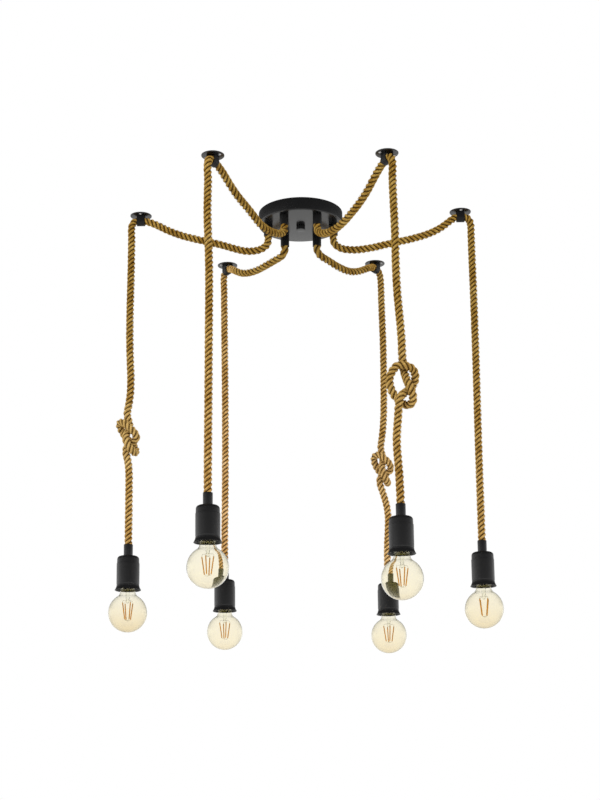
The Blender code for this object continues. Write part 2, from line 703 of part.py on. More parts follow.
def run_path(arm):
    """The rope from its canopy grip over the hook, in the arm's own plane."""
    mouth = -CANOPY_DEPTH - FIT_GAP - CANOPY_GRIP_HEIGHT
    start = mouth + CANOPY_GRIP_BORE - FIT_GAP
    end = FIT_GAP / 2 - PIVOT_DROP
    chosen = RUN_ROUTE[arm] + BEND_ROUTE[arm]
    points = [(CANOPY_GRIP_RING_R, 0, mouth - ROPE_LEAD)]
    points += [(reach, 0, height) for reach, height in chosen]
    points.append((LAMP_RADIUS[arm], 0, end))
    free = smooth_route(points, (0, 0, -1), (0, 0, -1))
    return np.vstack([[(CANOPY_GRIP_RING_R, 0, start)], free])


def knot_points(arm):
    """The knot's points, turned about the plumb line, leaning, and set in place."""
    knot, middle, turn, lean = KNOT[arm]
    points = []
    for right, front, height in knot:
        x = right * math.cos(turn) - front * math.sin(turn)
        y = right * math.sin(turn) + front * math.cos(turn)
        x -= lean * height * max(0, 1 - (height / KNOT_REACH) ** 2)
        points.append((x + middle[0], y + middle[1], height + middle[2]))
    return points


def drop_path(arm):
    """The hanging rope from below the hook into the lamp grip, measured from
    the pivot and turned into the arm's own directions."""
    end = CUP_HEIGHT + FIT_GAP + LAMP_GRIP_HEIGHT - LIP_DROP[arm]
    points = [(0, 0, -FIT_GAP / 2 - PIVOT_DROP)] + DROP_ROUTE[arm]
    if arm in KNOT:
        points += knot_points(arm) + KNOT_EXIT[arm]
    points.append((0, 0, end + ROPE_LEAD))
    turn = -math.radians(ARM_AZIMUTH[arm])
    local = []
    for right, front, height in points:
        x = right * math.cos(turn) + front * math.sin(turn)
        y = right * math.sin(turn) - front * math.cos(turn)
        local.append((x, y, height + PIVOT_DROP))
    free = smooth_route(local, (0, 0, -1), (0, 0, -1))
    floor = free[-1] - (0, 0, ROPE_LEAD + LAMP_GRIP_BORE - FIT_GAP)
    return np.vstack([free, [floor]])


def least_gap(path):
    """The least gap between the rope and itself, turns apart along its length."""
    gone = np.concatenate([[0], np.cumsum(np.linalg.norm(np.diff(path, axis=0), axis=1))])
    gaps = np.linalg.norm(path[:, None] - path[None], axis=2)
    apart = np.abs(gone[:, None] - gone[None]) > math.pi * ROPE_R
    return gaps[apart].min() - 2 * ROPE_R


def build():
    for item in list(bpy.data.objects):
        bpy.data.objects.remove(item)
    black = material("black_lacquer", (0.022, 0.022, 0.024), 0.38)
    black_steel = material("black_steel", (0.020, 0.020, 0.022), 0.45, metallic=0.3)
    zinc = material("zinc_steel", (0.55, 0.56, 0.57), 0.40, metallic=1.0)
    white = material("white_plastic", (0.78, 0.77, 0.74), 0.50)
    hemp = material("hemp_rope", (0.42, 0.28, 0.10), 0.90)
    ceramic = material("black_holder", (0.030, 0.029, 0.028), 0.50)
    glass = material("clear_glass", (0.95, 0.92, 0.84), 0.03, transmission=1.0)
    brass = material("nickel_cap", (0.62, 0.60, 0.55), 0.32, metallic=1.0)

    place("canopy", canopy_mesh(), black)
    place("crossbar", crossbar_mesh(), zinc)
    place("threaded_rod", rod_mesh(), zinc)
    place("finial_nut", finial_mesh(), black)
    place("terminal_block", block_mesh(), white)

    grip = canopy_grip_mesh()
    hook = hook_mesh()
    lamp_grip = lamp_grip_mesh()
    cup = cup_mesh()
    holder = holder_mesh()
    bulb = glass_mesh()
    base = bulb_base_mesh()
    for arm, azimuth in ARM_AZIMUTH.items():
        frame = place("arm_" + arm, None, None, turn=math.radians(azimuth))
        place("canopy_grip_" + arm, grip, black, frame,
              (CANOPY_GRIP_RING_R, 0, -CANOPY_DEPTH))
        place("ceiling_hook_" + arm, hook, black_steel, frame, (HOOK_RING_R, 0, 0))
        rope("rope_run_" + arm, run_path(arm), hemp, frame)
        pivot = place("pivot_" + arm, None, None, frame, (LAMP_RADIUS[arm], 0, -PIVOT_DROP))
        hanging = drop_path(arm)
        rope("rope_drop_" + arm, hanging, hemp, pivot)
        if arm in KNOT:
            print("least gap in the knot of", arm, round(least_gap(hanging) * 1000, 2), "mm")
        lip = (0, 0, PIVOT_DROP - LIP_DROP[arm])
        place("lamp_grip_" + arm, lamp_grip, black, pivot, lip)
        place("lamp_cup_" + arm, cup, black, pivot, lip)
        place("lampholder_" + arm, holder, ceramic, pivot, lip)
        bulb_frame = place("bulb_" + arm, None, None, pivot, lip)
        place("bulb_glass_" + arm, bulb, glass, bulb_frame)
        place("bulb_base_" + arm, base, brass, bulb_frame)


build()
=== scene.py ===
from math import atan2, ceil, cos, pi, radians, sin, sqrt, tau

import bmesh
import bpy
import numpy as np
from mathutils import Matrix, Vector


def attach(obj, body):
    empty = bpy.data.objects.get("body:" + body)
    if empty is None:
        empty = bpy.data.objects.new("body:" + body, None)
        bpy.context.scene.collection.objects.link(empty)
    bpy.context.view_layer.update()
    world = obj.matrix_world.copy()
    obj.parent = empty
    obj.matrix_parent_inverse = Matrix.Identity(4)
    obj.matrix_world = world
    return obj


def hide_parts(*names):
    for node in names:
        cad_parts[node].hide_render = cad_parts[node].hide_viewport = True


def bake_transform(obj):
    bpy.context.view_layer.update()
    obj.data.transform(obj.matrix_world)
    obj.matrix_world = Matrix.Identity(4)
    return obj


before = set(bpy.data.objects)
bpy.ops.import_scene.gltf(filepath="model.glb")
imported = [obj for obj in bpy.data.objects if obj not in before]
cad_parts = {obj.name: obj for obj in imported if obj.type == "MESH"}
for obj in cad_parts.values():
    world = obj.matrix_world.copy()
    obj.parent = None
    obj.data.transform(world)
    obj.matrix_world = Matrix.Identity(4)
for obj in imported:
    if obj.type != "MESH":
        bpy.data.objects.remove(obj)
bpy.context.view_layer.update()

# The camera stands below the lamps, a little over three metres in front of them,
# and looks up by twelve degrees. Lengths on the picture are in pixels of a frame
# 600 wide and 800 high.
FRAME_HEIGHT = 800
FOCAL_LENGTH = 1618.5
OPTICAL_ROW = 525.8
FILM_HEIGHT = 36.0
CAMERA_PLACE = (0.0001, -3.2735, -1.3832)
CAMERA_PITCH = radians(12)
CAMERA_YAW = radians(-0.157)
CAMERA_ROLL = radians(-0.653)


def placed(name, data):
    """A new object in the scene."""
    item = bpy.data.objects.new(name, data)
    bpy.context.collection.objects.link(item)
    return item


lens = bpy.data.cameras.new("camera")
lens.sensor_width = FILM_HEIGHT
lens.lens = FILM_HEIGHT * FOCAL_LENGTH / FRAME_HEIGHT
lens.shift_y = (OPTICAL_ROW - FRAME_HEIGHT / 2) / FRAME_HEIGHT
camera = placed("camera", lens)
camera.matrix_world = (Matrix.Translation(CAMERA_PLACE)
                       @ Matrix.Rotation(-CAMERA_YAW, 4, "Z")
                       @ Matrix.Rotation(pi / 2 + CAMERA_PITCH, 4, "X")
                       @ Matrix.Rotation(CAMERA_ROLL, 4, "Z"))
bpy.context.scene.camera = camera
bpy.context.scene.view_settings.view_transform = "Standard"

# Ropes: hemp, three strands laid up right-handed to 15 mm, one rope from the grip
# under the canopy over its ceiling hook and down into the grip of its lamp. The
# flex runs hidden in the lay. Three of the ropes are tied in an overhand knot.
ARMS = ("right", "back_right", "back_left", "left", "front_left", "front_right")


def on_arms(*values):
    """One value for each arm, in the order of ARMS."""
    return dict(zip(ARMS, values))


ARM_AZIMUTH = on_arms(0, 60, 120, 180, 240, 300)
LAMP_REACH = on_arms(0.366, 0.3735, 0.361, 0.3635, 0.361, 0.362)
LAMP_LIP = on_arms(-0.8185, -0.8245, -0.8142, -0.818, -0.7835, -0.8095)
ROPE_R = 0.0075
ROPE_RING = 0.0011  # from one ring of the skin to the next
ROPE_LAY = 0.0295  # length of one full turn of a strand
RUN_LAY = on_arms(1.0, 1.65, 1.65, 1.0, 1.15, 1.15)  # how much looser a run is laid
LAY_CHANGE = 0.030  # over which the lay tightens towards the hook
STRAND_HELIX_R = 0.00436
STRAND_R = 0.00386
STRAND_COLUMNS = 16
STRAND_SWELL = 0.012  # by how much a strand grows thicker and thinner
STRAND_WAVE = 37  # radians of that change per metre
GROOVE_R = 0.0062  # where loose fibres fill the grooves
TURN_START = 0.050  # below the pivot, where the skin starts to face the knot
TURN_LENGTH = 0.150
FIBRES_PER_METRE = 1900  # loose ones that stand off the rope
FIBRE_R = 0.00012
FIBRE_STEPS = np.array([0.0, 0.4, 0.75, 1.0])
FIBRE_SIDES = 3
FIBRE_TAPER = 0.8  # share of its thickness that a fibre loses
FIBRE_RUN = (0.004, 0.010)  # least and most that it runs along the rope
FIBRE_LIFT = (0.0004, 0.0024)  # the same of how far it stands off
FIBRE_LEAN = (0.3, 0.5)  # mean and spread of its turn about the rope
FIBRE_RISE = 1.6  # above 1, so that it leaves the rope gently
BARE_START = 0.020  # no loose fibre so near the grip
BARE_END = 0.030  # nor so near the lamp
HOOK_CLEAR = 0.315  # nor beyond this reach, inside the hook
YARNS = 24  # yarns that show round the rope
YARN_LEAN = 7.0  # turns per metre by which they lean on the rope
CANOPY_MOUTH = (0.070, -0.0505)  # reach and height of a grip's mouth
CANOPY_BORE = 0.0117  # how far the rope goes into it
LAMP_MOUTH = 0.0953  # above the lip of the cup
LAMP_BORE = 0.0137
ROPE_LEAD = 0.003  # straight stretch outside each mouth
PIVOT = -0.055  # height at which a pendant swings
FIT_GAP = 0.0003  # left between pieces that touch

# Each rope's points over its hook as (reach, height) in the plane of its arm
OVER_HOOK = {
    "right": [
        (0.0712, -0.066), (0.082, -0.0775), (0.105, -0.0835), (0.140, -0.0815), (0.187, -0.0715),
        (0.224, -0.0635), (0.281, -0.0465), (0.311, -0.0290), (0.3275, -0.0163),
        (0.3370, -0.0119), (0.3445, -0.0109), (0.3528, -0.0121), (0.3610, -0.0170),
        (0.3655, -0.0285), (0.3663, -0.042)],
    "back_right": [
        (0.0737, -0.0625), (0.084, -0.0666), (0.116, -0.0672), (0.150, -0.0672),
        (0.184, -0.0655), (0.231, -0.0570), (0.280, -0.0375), (0.310, -0.0225),
        (0.3275, -0.0147), (0.3370, -0.0120), (0.3450, -0.0110), (0.3535, -0.0121),
        (0.3640, -0.0168), (0.3715, -0.0300)],
    "back_left": [
        (0.0737, -0.0625), (0.084, -0.0665), (0.110, -0.0665), (0.140, -0.0650),
        (0.194, -0.0615), (0.246, -0.0520), (0.286, -0.0370), (0.313, -0.0222),
        (0.3275, -0.0148), (0.3365, -0.0120), (0.3440, -0.0112), (0.3520, -0.0124),
        (0.3589, -0.0166), (0.3622, -0.0262), (0.3624, -0.041)],
    "left": [
        (0.0712, -0.066), (0.082, -0.0775), (0.098, -0.0830), (0.120, -0.0832), (0.155, -0.0735),
        (0.207, -0.0595), (0.255, -0.0465), (0.292, -0.0310), (0.314, -0.0197),
        (0.3285, -0.0141), (0.3370, -0.0119), (0.3445, -0.0111), (0.3525, -0.0123),
        (0.3600, -0.0168), (0.3636, -0.0270), (0.3640, -0.041)],
    "front_left": [
        (0.0712, -0.063), (0.084, -0.0735), (0.104, -0.0805), (0.132, -0.0845), (0.164, -0.0828),
        (0.204, -0.0688), (0.242, -0.0565), (0.276, -0.0420), (0.307, -0.0242),
        (0.3275, -0.0150), (0.3365, -0.0120), (0.3440, -0.0112), (0.3520, -0.0124),
        (0.3589, -0.0166), (0.3621, -0.0262), (0.3622, -0.041)],
    "front_right": [
        (0.0712, -0.063), (0.083, -0.0735), (0.102, -0.0810), (0.135, -0.0862), (0.167, -0.0848),
        (0.210, -0.0745), (0.266, -0.0525), (0.305, -0.0272), (0.3275, -0.0154),
        (0.3365, -0.0120), (0.3440, -0.0112), (0.3522, -0.0124), (0.3593, -0.0166),
        (0.3628, -0.0265), (0.3631, -0.041)],
}
# Points below it as (right, front, height) from the plumb line of its lamp
OPEN_KNOT = [
    (0.002, 0, 0.075), (0.003, -0.004, 0.046), (0.005, -0.0085, 0.031), (0.008, -0.0015, 0.014),
    (0.014, 0.0085, -0.007), (0.020, 0.0065, -0.026), (0.017, 0, -0.039),
    (0.006, -0.007, -0.039), (-0.006, -0.0095, -0.0295), (-0.016, -0.006, -0.018),
    (-0.0225, -0.001, -0.002), (-0.023, 0.001, 0.010), (-0.017, 0.004, 0.025),
    (-0.0053, 0.0075, 0.035), (0.007, 0.008, 0.0335), (0.0205, 0.0035, 0.028),
    (0.026, -0.0025, 0.015), (0.023, -0.0075, 0.002), (0.0145, -0.008, -0.008),
    (0.006, -0.002, -0.017), (-0.002, 0.007, -0.026), (-0.007, 0.006, -0.044),
    (-0.0085, 0.002, -0.062)]
TIGHT_KNOT = [
    (0, 0, 0.064), (-0.001, -0.004, 0.044), (-0.001, -0.009, 0.029), (0.002, -0.003, 0.011),
    (0.008, 0.009, -0.005), (0.011, 0.010, -0.020), (0.009, 0.001, -0.033),
    (0.001, -0.009, -0.035), (-0.009, -0.013, -0.024), (-0.016, -0.008, -0.009),
    (-0.018, 0, 0.005), (-0.014, 0.007, 0.018), (-0.005, 0.011, 0.027), (0.007, 0.009, 0.027),
    (0.016, 0.003, 0.019), (0.019, -0.006, 0.007), (0.012, -0.012, -0.006),
    (0.003, -0.005, -0.014), (-0.005, 0.006, -0.023), (-0.006, 0.008, -0.038),
    (-0.003, 0.003, -0.052)]
DOWN = {
    "right": [(0.0005, 0, -0.150), (0.0008, 0.001, -0.310), (0, 0, -0.520)],
    "back_right": [(0.0015, 0, -0.165), (0.0005, 0, -0.320)],
    "back_left": [(0.0005, 0, -0.150), (0.002, 0.001, -0.330), (0.0015, 0, -0.540)],
    "left": [(-0.0008, 0, -0.150), (-0.0005, 0, -0.320)],
    "front_left": [(-0.001, 0, -0.115), (0.0015, 0, -0.210), (0.002, 0, -0.345),
                   (0.001, 0, -0.520)],
    "front_right": [(0.002, 0, -0.160), (0.0035, 0, -0.290)],
}
# Each knot: its points, its middle, its turn about the plumb line, and how far
# it leans to the left for its height above the middle
KNOT = {
    "back_right": (TIGHT_KNOT, (-0.007, 0, -0.485), radians(50), 0.20),
    "left": (TIGHT_KNOT, (-0.003, 0, -0.491), radians(66), 0.27),
    "front_right": (OPEN_KNOT, (0.008, 0, -0.480), 0, 0),
}
KNOT_REACH = 0.060  # above and below this the rope doesn't lean
KNOT_FADE = 0.020  # beyond that, over which its colour turns plain
KNOT_PALING = {"back_right": 0.24, "left": 0.30, "front_right": 0.15}  # paler in and near the knot
PAINTED_LIGHT_TOP = 0.90  # painted light: the hemp's level on the screen at and near the ceiling, darker up there
PAINTED_LIGHT_GAIN = 0.18  # painted light gained over its depth, down to the lamps
PAINTED_LIGHT_START = 0.15  # this far below the ceiling
PAINTED_LIGHT_DEPTH = 0.65
PAINTED_LIGHT_OF = on_arms(-0.02, 0.06, 0.16, 0.0, 0.03, -0.02)  # painted light of each rope, gained from the hook down
SCREEN_POWER = 2.2  # from a level on the screen to one of light
KNOT_EXIT = {
    "back_right": [(0.003, 0, -0.585), (0.002, 0, -0.650)],
    "left": [(0, 0, -0.585)],
    "front_right": [(-0.004, 0, -0.585), (-0.002, 0, -0.640)],
}


def smooth_route(points, start_way=(0, 0, -1), end_way=(0, 0, -1), step=0.001):
    """A clamped cubic spline through the points: Hermite pieces whose ways agree
    in curvature at each point, read about every step."""
    points = np.array(points, dtype=float)
    chords = np.diff(points, axis=0)
    spans = np.linalg.norm(chords, axis=1)
    slopes = chords / spans[:, None]
    matrix = np.eye(len(points))
    sides = np.zeros((len(points), 3))
    sides[0] = start_way
    sides[-1] = end_way
    for i in range(1, len(points) - 1):
        before, after = spans[i - 1], spans[i]
        matrix[i, i - 1:i + 2] = after, 2 * (before + after), before
        sides[i] = 3 * (after * slopes[i - 1] + before * slopes[i])
    ways = np.linalg.solve(matrix, sides)
    stretches = []
    for i, span in enumerate(spans):
        count = max(2, ceil(span / step))
        u = (np.arange(count) / count)[:, None]
        stretches.append((1 + 2 * u) * (1 - u) ** 2 * points[i]
                         + u * (1 - u) ** 2 * span * ways[i]
                         + u ** 2 * (3 - 2 * u) * points[i + 1]
                         + u ** 2 * (u - 1) * span * ways[i + 1])
    return np.vstack(stretches + [points[-1:]])


def knot_points(arm):
    """The knot's points turned by an angle a, right cos a - front sin a and right
    sin a + front cos a, leaning by its height h times 1 - (h / reach)^2, and set
    in place."""
    knot, middle, turn, lean = KNOT[arm]
    right, front, height = np.array(knot).T
    across = right * cos(turn) - front * sin(turn)
    forward = right * sin(turn) + front * cos(turn)
    across -= lean * height * np.clip(1 - (height / KNOT_REACH) ** 2, 0, None)
    return (np.stack([across, forward, height], axis=1) + middle).tolist()


def rope_line(arm):
    """The rope's centre line: down out of the canopy grip, along the arm's plane
    over the hook, plumb at the pivot, then down through the knot to the lamp."""
    along = level_way(radians(ARM_AZIMUTH[arm]))
    reach, mouth = CANOPY_MOUTH
    flat = [(reach, mouth - ROPE_LEAD)] + OVER_HOOK[arm] + [(LAMP_REACH[arm], PIVOT)]
    over = smooth_route([along * out + (0, 0, height) for out, height in flat])
    plumb = along * LAMP_REACH[arm]
    hanging = [(0, 0, PIVOT)] + DOWN[arm]
    if arm in KNOT:
        hanging += knot_points(arm) + KNOT_EXIT[arm]
    hanging.append((0, 0, LAMP_LIP[arm] + LAMP_MOUTH + ROPE_LEAD))
    down = smooth_route([plumb + (right, -front, height) for right, front, height in hanging])
    first = along * reach + (0, 0, mouth + CANOPY_BORE)
    last = plumb + (0, 0, LAMP_LIP[arm] + LAMP_MOUTH - LAMP_BORE)
    return np.vstack([first, over[:-1], down, last])


def evenly(line, step):
    """The same line, read at even steps of its length."""
    gone = np.concatenate([[0], np.cumsum(np.linalg.norm(np.diff(line, axis=0), axis=1))])
    count = round(gone[-1] / step)
    marks = np.linspace(0, gone[-1], count + 1)
    return np.stack([np.interp(marks, gone, line[:, i]) for i in range(3)], axis=1), marks


def unit(vectors):
    """Vectors scaled to length 1."""
    return vectors / np.linalg.norm(vectors, axis=-1, keepdims=True)


def level_way(angle):
    """The level way at an angle from the right."""
    return np.array([cos(angle), sin(angle), 0])


def ease(share):
    """A smooth step from 0 to 1."""
    share = np.clip(share, 0, 1)
    return share * share * (3 - 2 * share)


def across_rope(line, arm):
    """Two ways across the rope at each place of its line. The first starts level
    across the arm and turns on the way down to face the knot squarely, both with
    the part along the rope taken out; the second is the line's way times it."""
    ways = unit(np.gradient(line, axis=0))
    azimuth = radians(ARM_AZIMUTH[arm])
    first = np.array([-sin(azimuth), cos(azimuth), 0])
    if arm in KNOT:
        turn = KNOT[arm][2]
        facing = np.array([sin(turn), cos(turn), 0])
        facing *= 1 if first @ facing >= 0 else -1
        share = ease((PIVOT - TURN_START - line[:, 2:]) / TURN_LENGTH)
        first = unit(first * (1 - share) + facing * share)
    first = unit(first - ways * (first * ways).sum(axis=1, keepdims=True))
    return first, np.cross(ways, first)


def grid_faces(rows, columns, ends):
    """The corners of the faces over a grid of points whose columns are joined round,
    and the first corner of each face. At the ends the rows are joined round too
    ("joined"), closed by faces ("faces"), or left to run into poles. Faces look
    outwards where the columns turn anticlockwise about the way of the rows."""
    row = np.arange(rows if ends == "joined" else rows - 1)[:, None]
    column = np.arange(columns)[None]
    near, far = row * columns, (row + 1) % rows * columns
    after = (column + 1) % columns
    corners = np.stack([near + column, near + after, far + after, far + column], axis=-1)
    corners = corners.reshape(-1)
    starts = np.arange(0, len(corners), 4)
    if ends == "faces":
        starts = np.append(starts, [len(corners), len(corners) + columns])
        corners = np.concatenate([corners, column[0, ::-1], (rows - 1) * columns + column[0]])
    return corners, starts


def grid_map(uv, ends):
    """A map's values at those corners. Its last column repeats the first, and so
    does its last row where the rows are joined."""
    values = np.stack([uv[:-1, :-1], uv[:-1, 1:], uv[1:, 1:], uv[1:, :-1]], axis=2)
    values = values.reshape(-1, 2)
    if ends == "faces":
        values = np.concatenate([values, uv[0, :-1][::-1], uv[-1, :-1]])
    return values


def new_mesh(name, points, corners, starts, **maps):
    """A smooth mesh of points (point, 3) and faces, with maps at their corners."""
    mesh = bpy.data.meshes.new(name)
    for items, key, values, kind in ((mesh.vertices, "co", points, np.float32),
                                     (mesh.loops, "vertex_index", corners, np.int32),
                                     (mesh.polygons, "loop_start", starts, np.int32)):
        items.add(len(values))
        items.foreach_set(key, values.reshape(-1).astype(kind))
    mesh.update(calc_edges=True)
    for key, uv in maps.items():
        layer = mesh.uv_layers.new(name=key)
        layer.data.foreach_set("uv", uv.reshape(-1).astype(np.float32))
    mesh.shade_smooth()
    return mesh


def skin(name, grid, ends="faces", uv=None):
    """A mesh over a grid of points (rows, columns, 3), with or without a map."""
    maps = {} if uv is None else {"round": grid_map(uv, ends)}
    return new_mesh(name, grid.reshape(-1, 3), *grid_faces(*grid.shape[:2], ends), **maps)


def mark(mesh, name, values):
    """An attribute of the mesh's points, from one number or one for each."""
    values = np.broadcast_to(values, len(mesh.vertices)).astype(np.float32)
    mesh.attributes.new(name, "FLOAT", "POINT").data.foreach_set("value", values)


def loose_fibres(line, marks, first, second, seed):
    """Fibres that start in the rope and stand off it: at a share t of its length a
    fibre has turned by its lean times t about the rope and risen by its lift times
    t to the power of FIBRE_RISE. Each is a hair of three sides that thins out.
    Gives the hairs' points (hair, step, side, xyz) and their places in the rope's
    own map."""
    rng = np.random.default_rng(seed)
    count = round(FIBRES_PER_METRE * marks[-1])
    start = rng.uniform(BARE_START, marks[-1] - BARE_END, count)
    at = np.searchsorted(marks, start)
    clear = (np.hypot(line[at, 0], line[at, 1]) < HOOK_CLEAR) | (line[at, 2] < PIVOT)
    start = start[clear, None]
    size = (len(start), 1)
    way = rng.choice((-1, 1), size)
    along = start + way * rng.uniform(*FIBRE_RUN, size) * FIBRE_STEPS
    angle = (rng.uniform(0, tau, size) + start * tau / ROPE_LAY
             + rng.normal(*FIBRE_LEAN, size) * FIBRE_STEPS)
    radius = ROPE_R + rng.uniform(*FIBRE_LIFT, size) * FIBRE_STEPS ** FIBRE_RISE
    middle, ahead, aside = (
        np.stack([np.interp(along, marks, part[:, i]) for i in range(3)], axis=-1)
        for part in (line, first, second))
    cosine, sine = np.cos(angle)[..., None], np.sin(angle)[..., None]
    out = ahead * cosine + aside * sine
    side = (aside * cosine - ahead * sine) * way[..., None]
    thick = FIBRE_R * (1 - FIBRE_TAPER * FIBRE_STEPS)[None, :, None, None]
    corner = (np.arange(FIBRE_SIDES) * tau / FIBRE_SIDES)[:, None]
    hairs = ((middle + out * radius[..., None])[:, :, None]
             + (out[:, :, None] * np.cos(corner) + side[:, :, None] * np.sin(corner)) * thick)
    return hairs, np.stack([angle / tau, along], axis=-1)


def rope_mesh(name, line, marks, arm):
    """A three-strand rope. Seen end on, its outline at an angle a from the middle
    of a strand is the strand's own circle, h cos a + sqrt(b^2 - (h sin a)^2), with
    the groove filled to its least radius; the outline turns once for each lay."""
    share = (np.arange(3 * STRAND_COLUMNS) + 0.5) / STRAND_COLUMNS
    angle = (share % 1 - 0.5) * tau / 3
    inside = np.clip(STRAND_R ** 2 - (STRAND_HELIX_R * np.sin(angle)) ** 2, 0, None)
    outline = np.maximum(STRAND_HELIX_R * np.cos(angle) + np.sqrt(inside), GROOVE_R)
    swell = 1 + STRAND_SWELL * np.sin(marks[:, None] * STRAND_WAVE + 2 * (share // 1)[None])
    first, second = across_rope(line, arm)
    loose = ease((HOOK_CLEAR - np.hypot(line[:, 0], line[:, 1])) / LAY_CHANGE)
    lay = ROPE_LAY * (1 + (RUN_LAY[arm] - 1) * loose)
    turn = share * tau / 3 + (np.cumsum(tau / lay) * marks[1])[:, None]
    out = first[:, None] * np.cos(turn)[..., None] + second[:, None] * np.sin(turn)[..., None]
    grid = line[:, None] + out * (outline[None] * swell)[..., None]
    turns = np.concatenate([turn, turn[:, :1] + tau], axis=1) / tau
    lengths = np.broadcast_to(marks[:, None], turns.shape)
    corners, starts = grid_faces(*grid.shape[:2], "faces")
    hairs, hair_map = loose_fibres(line, marks, first, second, ARM_AZIMUTH[arm] + 1)
    hair_corners, hair_starts = grid_faces(*hairs.shape[1:3], "faces")
    number = np.arange(len(hairs))[:, None]
    hair_corners = number * len(FIBRE_STEPS) * FIBRE_SIDES + hair_corners
    hair_starts = len(corners) + number * hair_corners.shape[1] + hair_starts
    hair_map = np.repeat(hair_map, FIBRE_SIDES, axis=1).reshape(-1, 2)
    points = np.concatenate([grid.reshape(-1, 3), hairs.reshape(-1, 3)])
    mesh = new_mesh(name, points, np.append(corners, hair_corners + turn.size),
                    np.append(starts, hair_starts),
                    lay=np.concatenate([grid_map(np.stack([turns, lengths], axis=-1), "faces"),
                                        hair_map[hair_corners.reshape(-1)]]))
    height = np.ones(len(points))
    height[:turn.size] = np.tile(1 - abs(angle) / (pi / 3), len(line))
    mark(mesh, "crown", height)
    # How much paler the rope is in and near its knot
    in_knot = 0
    if arm in KNOT:
        off = KNOT_REACH + KNOT_FADE - abs(points[:, 2] - KNOT[arm][1][2])
        in_knot = KNOT_PALING[arm] * ease(off / KNOT_FADE)
    mark(mesh, "rubbed", in_knot)
    # Painted light: the rope's level, darker near the ceiling and lighter towards the lamps
    depth = np.clip((-line[:, 2] - PAINTED_LIGHT_START) / PAINTED_LIGHT_DEPTH, 0, 1)
    level = (PAINTED_LIGHT_TOP + PAINTED_LIGHT_OF[arm] * (1 - loose) + PAINTED_LIGHT_GAIN * depth) ** SCREEN_POWER
    mark(mesh, "tone", np.append(np.repeat(level, len(share)),
                                 np.interp(hair_map[:, 1], marks, level)))
    return mesh


class Value:
    """A socket that a shader sum starts from: each operator adds a Math node."""

    def __init__(self, tree, socket):
        self.tree = tree
        self.socket = socket

    def math(self, operation, *others, reflected=False):
        node = self.tree.nodes.new("ShaderNodeMath")
        node.operation = operation
        terms = [*others, self] if reflected else [self, *others]
        for place, term in zip(node.inputs, terms):
            feed(self.tree, place, term)
        return Value(self.tree, node.outputs[0])

    def kept(self):
        """Kept between 0 and 1."""
        return self.math("MINIMUM", 1.0).math("MAXIMUM", 0.0)

    __add__ = __radd__ = lambda self, other: self.math("ADD", other)
    __mul__ = __rmul__ = lambda self, other: self.math("MULTIPLY", other)
    __sub__ = lambda self, other: self.math("SUBTRACT", other)
    __rsub__ = lambda self, other: self.math("SUBTRACT", other, reflected=True)
    __pow__ = lambda self, other: self.math("POWER", other)


def feed(tree, place, term):
    """Links a Value to a socket, or sets a number or colour on it."""
    if isinstance(term, Value):
        tree.links.new(term.socket, place)
    else:
        place.default_value = term


def shade(red, green, blue):
    """A colour as seen on a screen, 0 to 255, turned into the shader's own."""
    seen = np.array([red, green, blue]) / 255
    linear = np.where(seen > 0.04045, ((seen + 0.055) / 1.055) ** 2.4, seen / 12.92)
    return (*(float(part) for part in linear), 1.0)


class Finish:
    """A material, or the world, in the making, with one method for every node but
    Math."""

    def __init__(self, name, kind=bpy.data.materials, shader="Principled BSDF", **settings):
        self.material = kind.new(name)
        self.material.use_nodes = True
        self.tree = self.material.node_tree
        self.shader = self.tree.nodes[shader]
        self.set(**settings)

    def set(self, **settings):
        """Values or links of the shader's sockets, written base_color for Base Color."""
        for key, term in settings.items():
            words = key.replace("_", " ").title().replace("Ior", "IOR")
            feed(self.tree, self.shader.inputs[words], term)

    def node(self, kind, settings=None, out=None, **sockets):
        """Any node: its type, its settings, its sockets' values or links, and the
        name of the output that is wanted where that isn't the first."""
        node = self.tree.nodes.new("ShaderNode" + kind)
        for key, value in (settings or {}).items():
            if key == "stops":
                ramp = node.color_ramp.elements
                while len(ramp) < len(value):
                    ramp.new(1)
                for stop, (place, color) in zip(ramp, value):
                    stop.position, stop.color = place, color
            else:
                setattr(node, key, value)
        for key, term in sockets.items():
            found = [s for s in node.inputs if s.enabled and s.name.lower() == key.lower()]
            feed(self.tree, found[0], term)
        given = [s for s in node.outputs if s.enabled and out in (None, s.name)]
        return Value(self.tree, given[0])

    def mix(self, share, first, second, **settings):
        """From the first colour to the second by a share of 0 to 1."""
        return self.node("Mix", {"data_type": "RGBA", **settings},
                         Factor=share, A=first, B=second)

    def noise(self, vector, scale, detail=2.0, roughness=0.5):
        return self.node("TexNoise", {"noise_dimensions": "3D"}, Vector=vector,
                         Scale=scale, Detail=detail, Roughness=roughness)

    def attribute(self, name):
        return self.node("Attribute", {"attribute_name": name}, out="Fac")

    def part(self, vector, axis):
        """One of a vector's three numbers, "X", "Y" or "Z"."""
        return self.node("SeparateXYZ", out=axis, Vector=vector)

    def place(self):
        """Where on the object a point lies, in metres."""
        return self.node("TexCoord", out="Object")

    def bump(self, height, distance, strength):
        """A Bump node on the Normal, from a height of 0 to 1 and its depth in metres."""
        self.set(normal=self.node("Bump", Height=height, Distance=distance,
                                  Strength=strength))
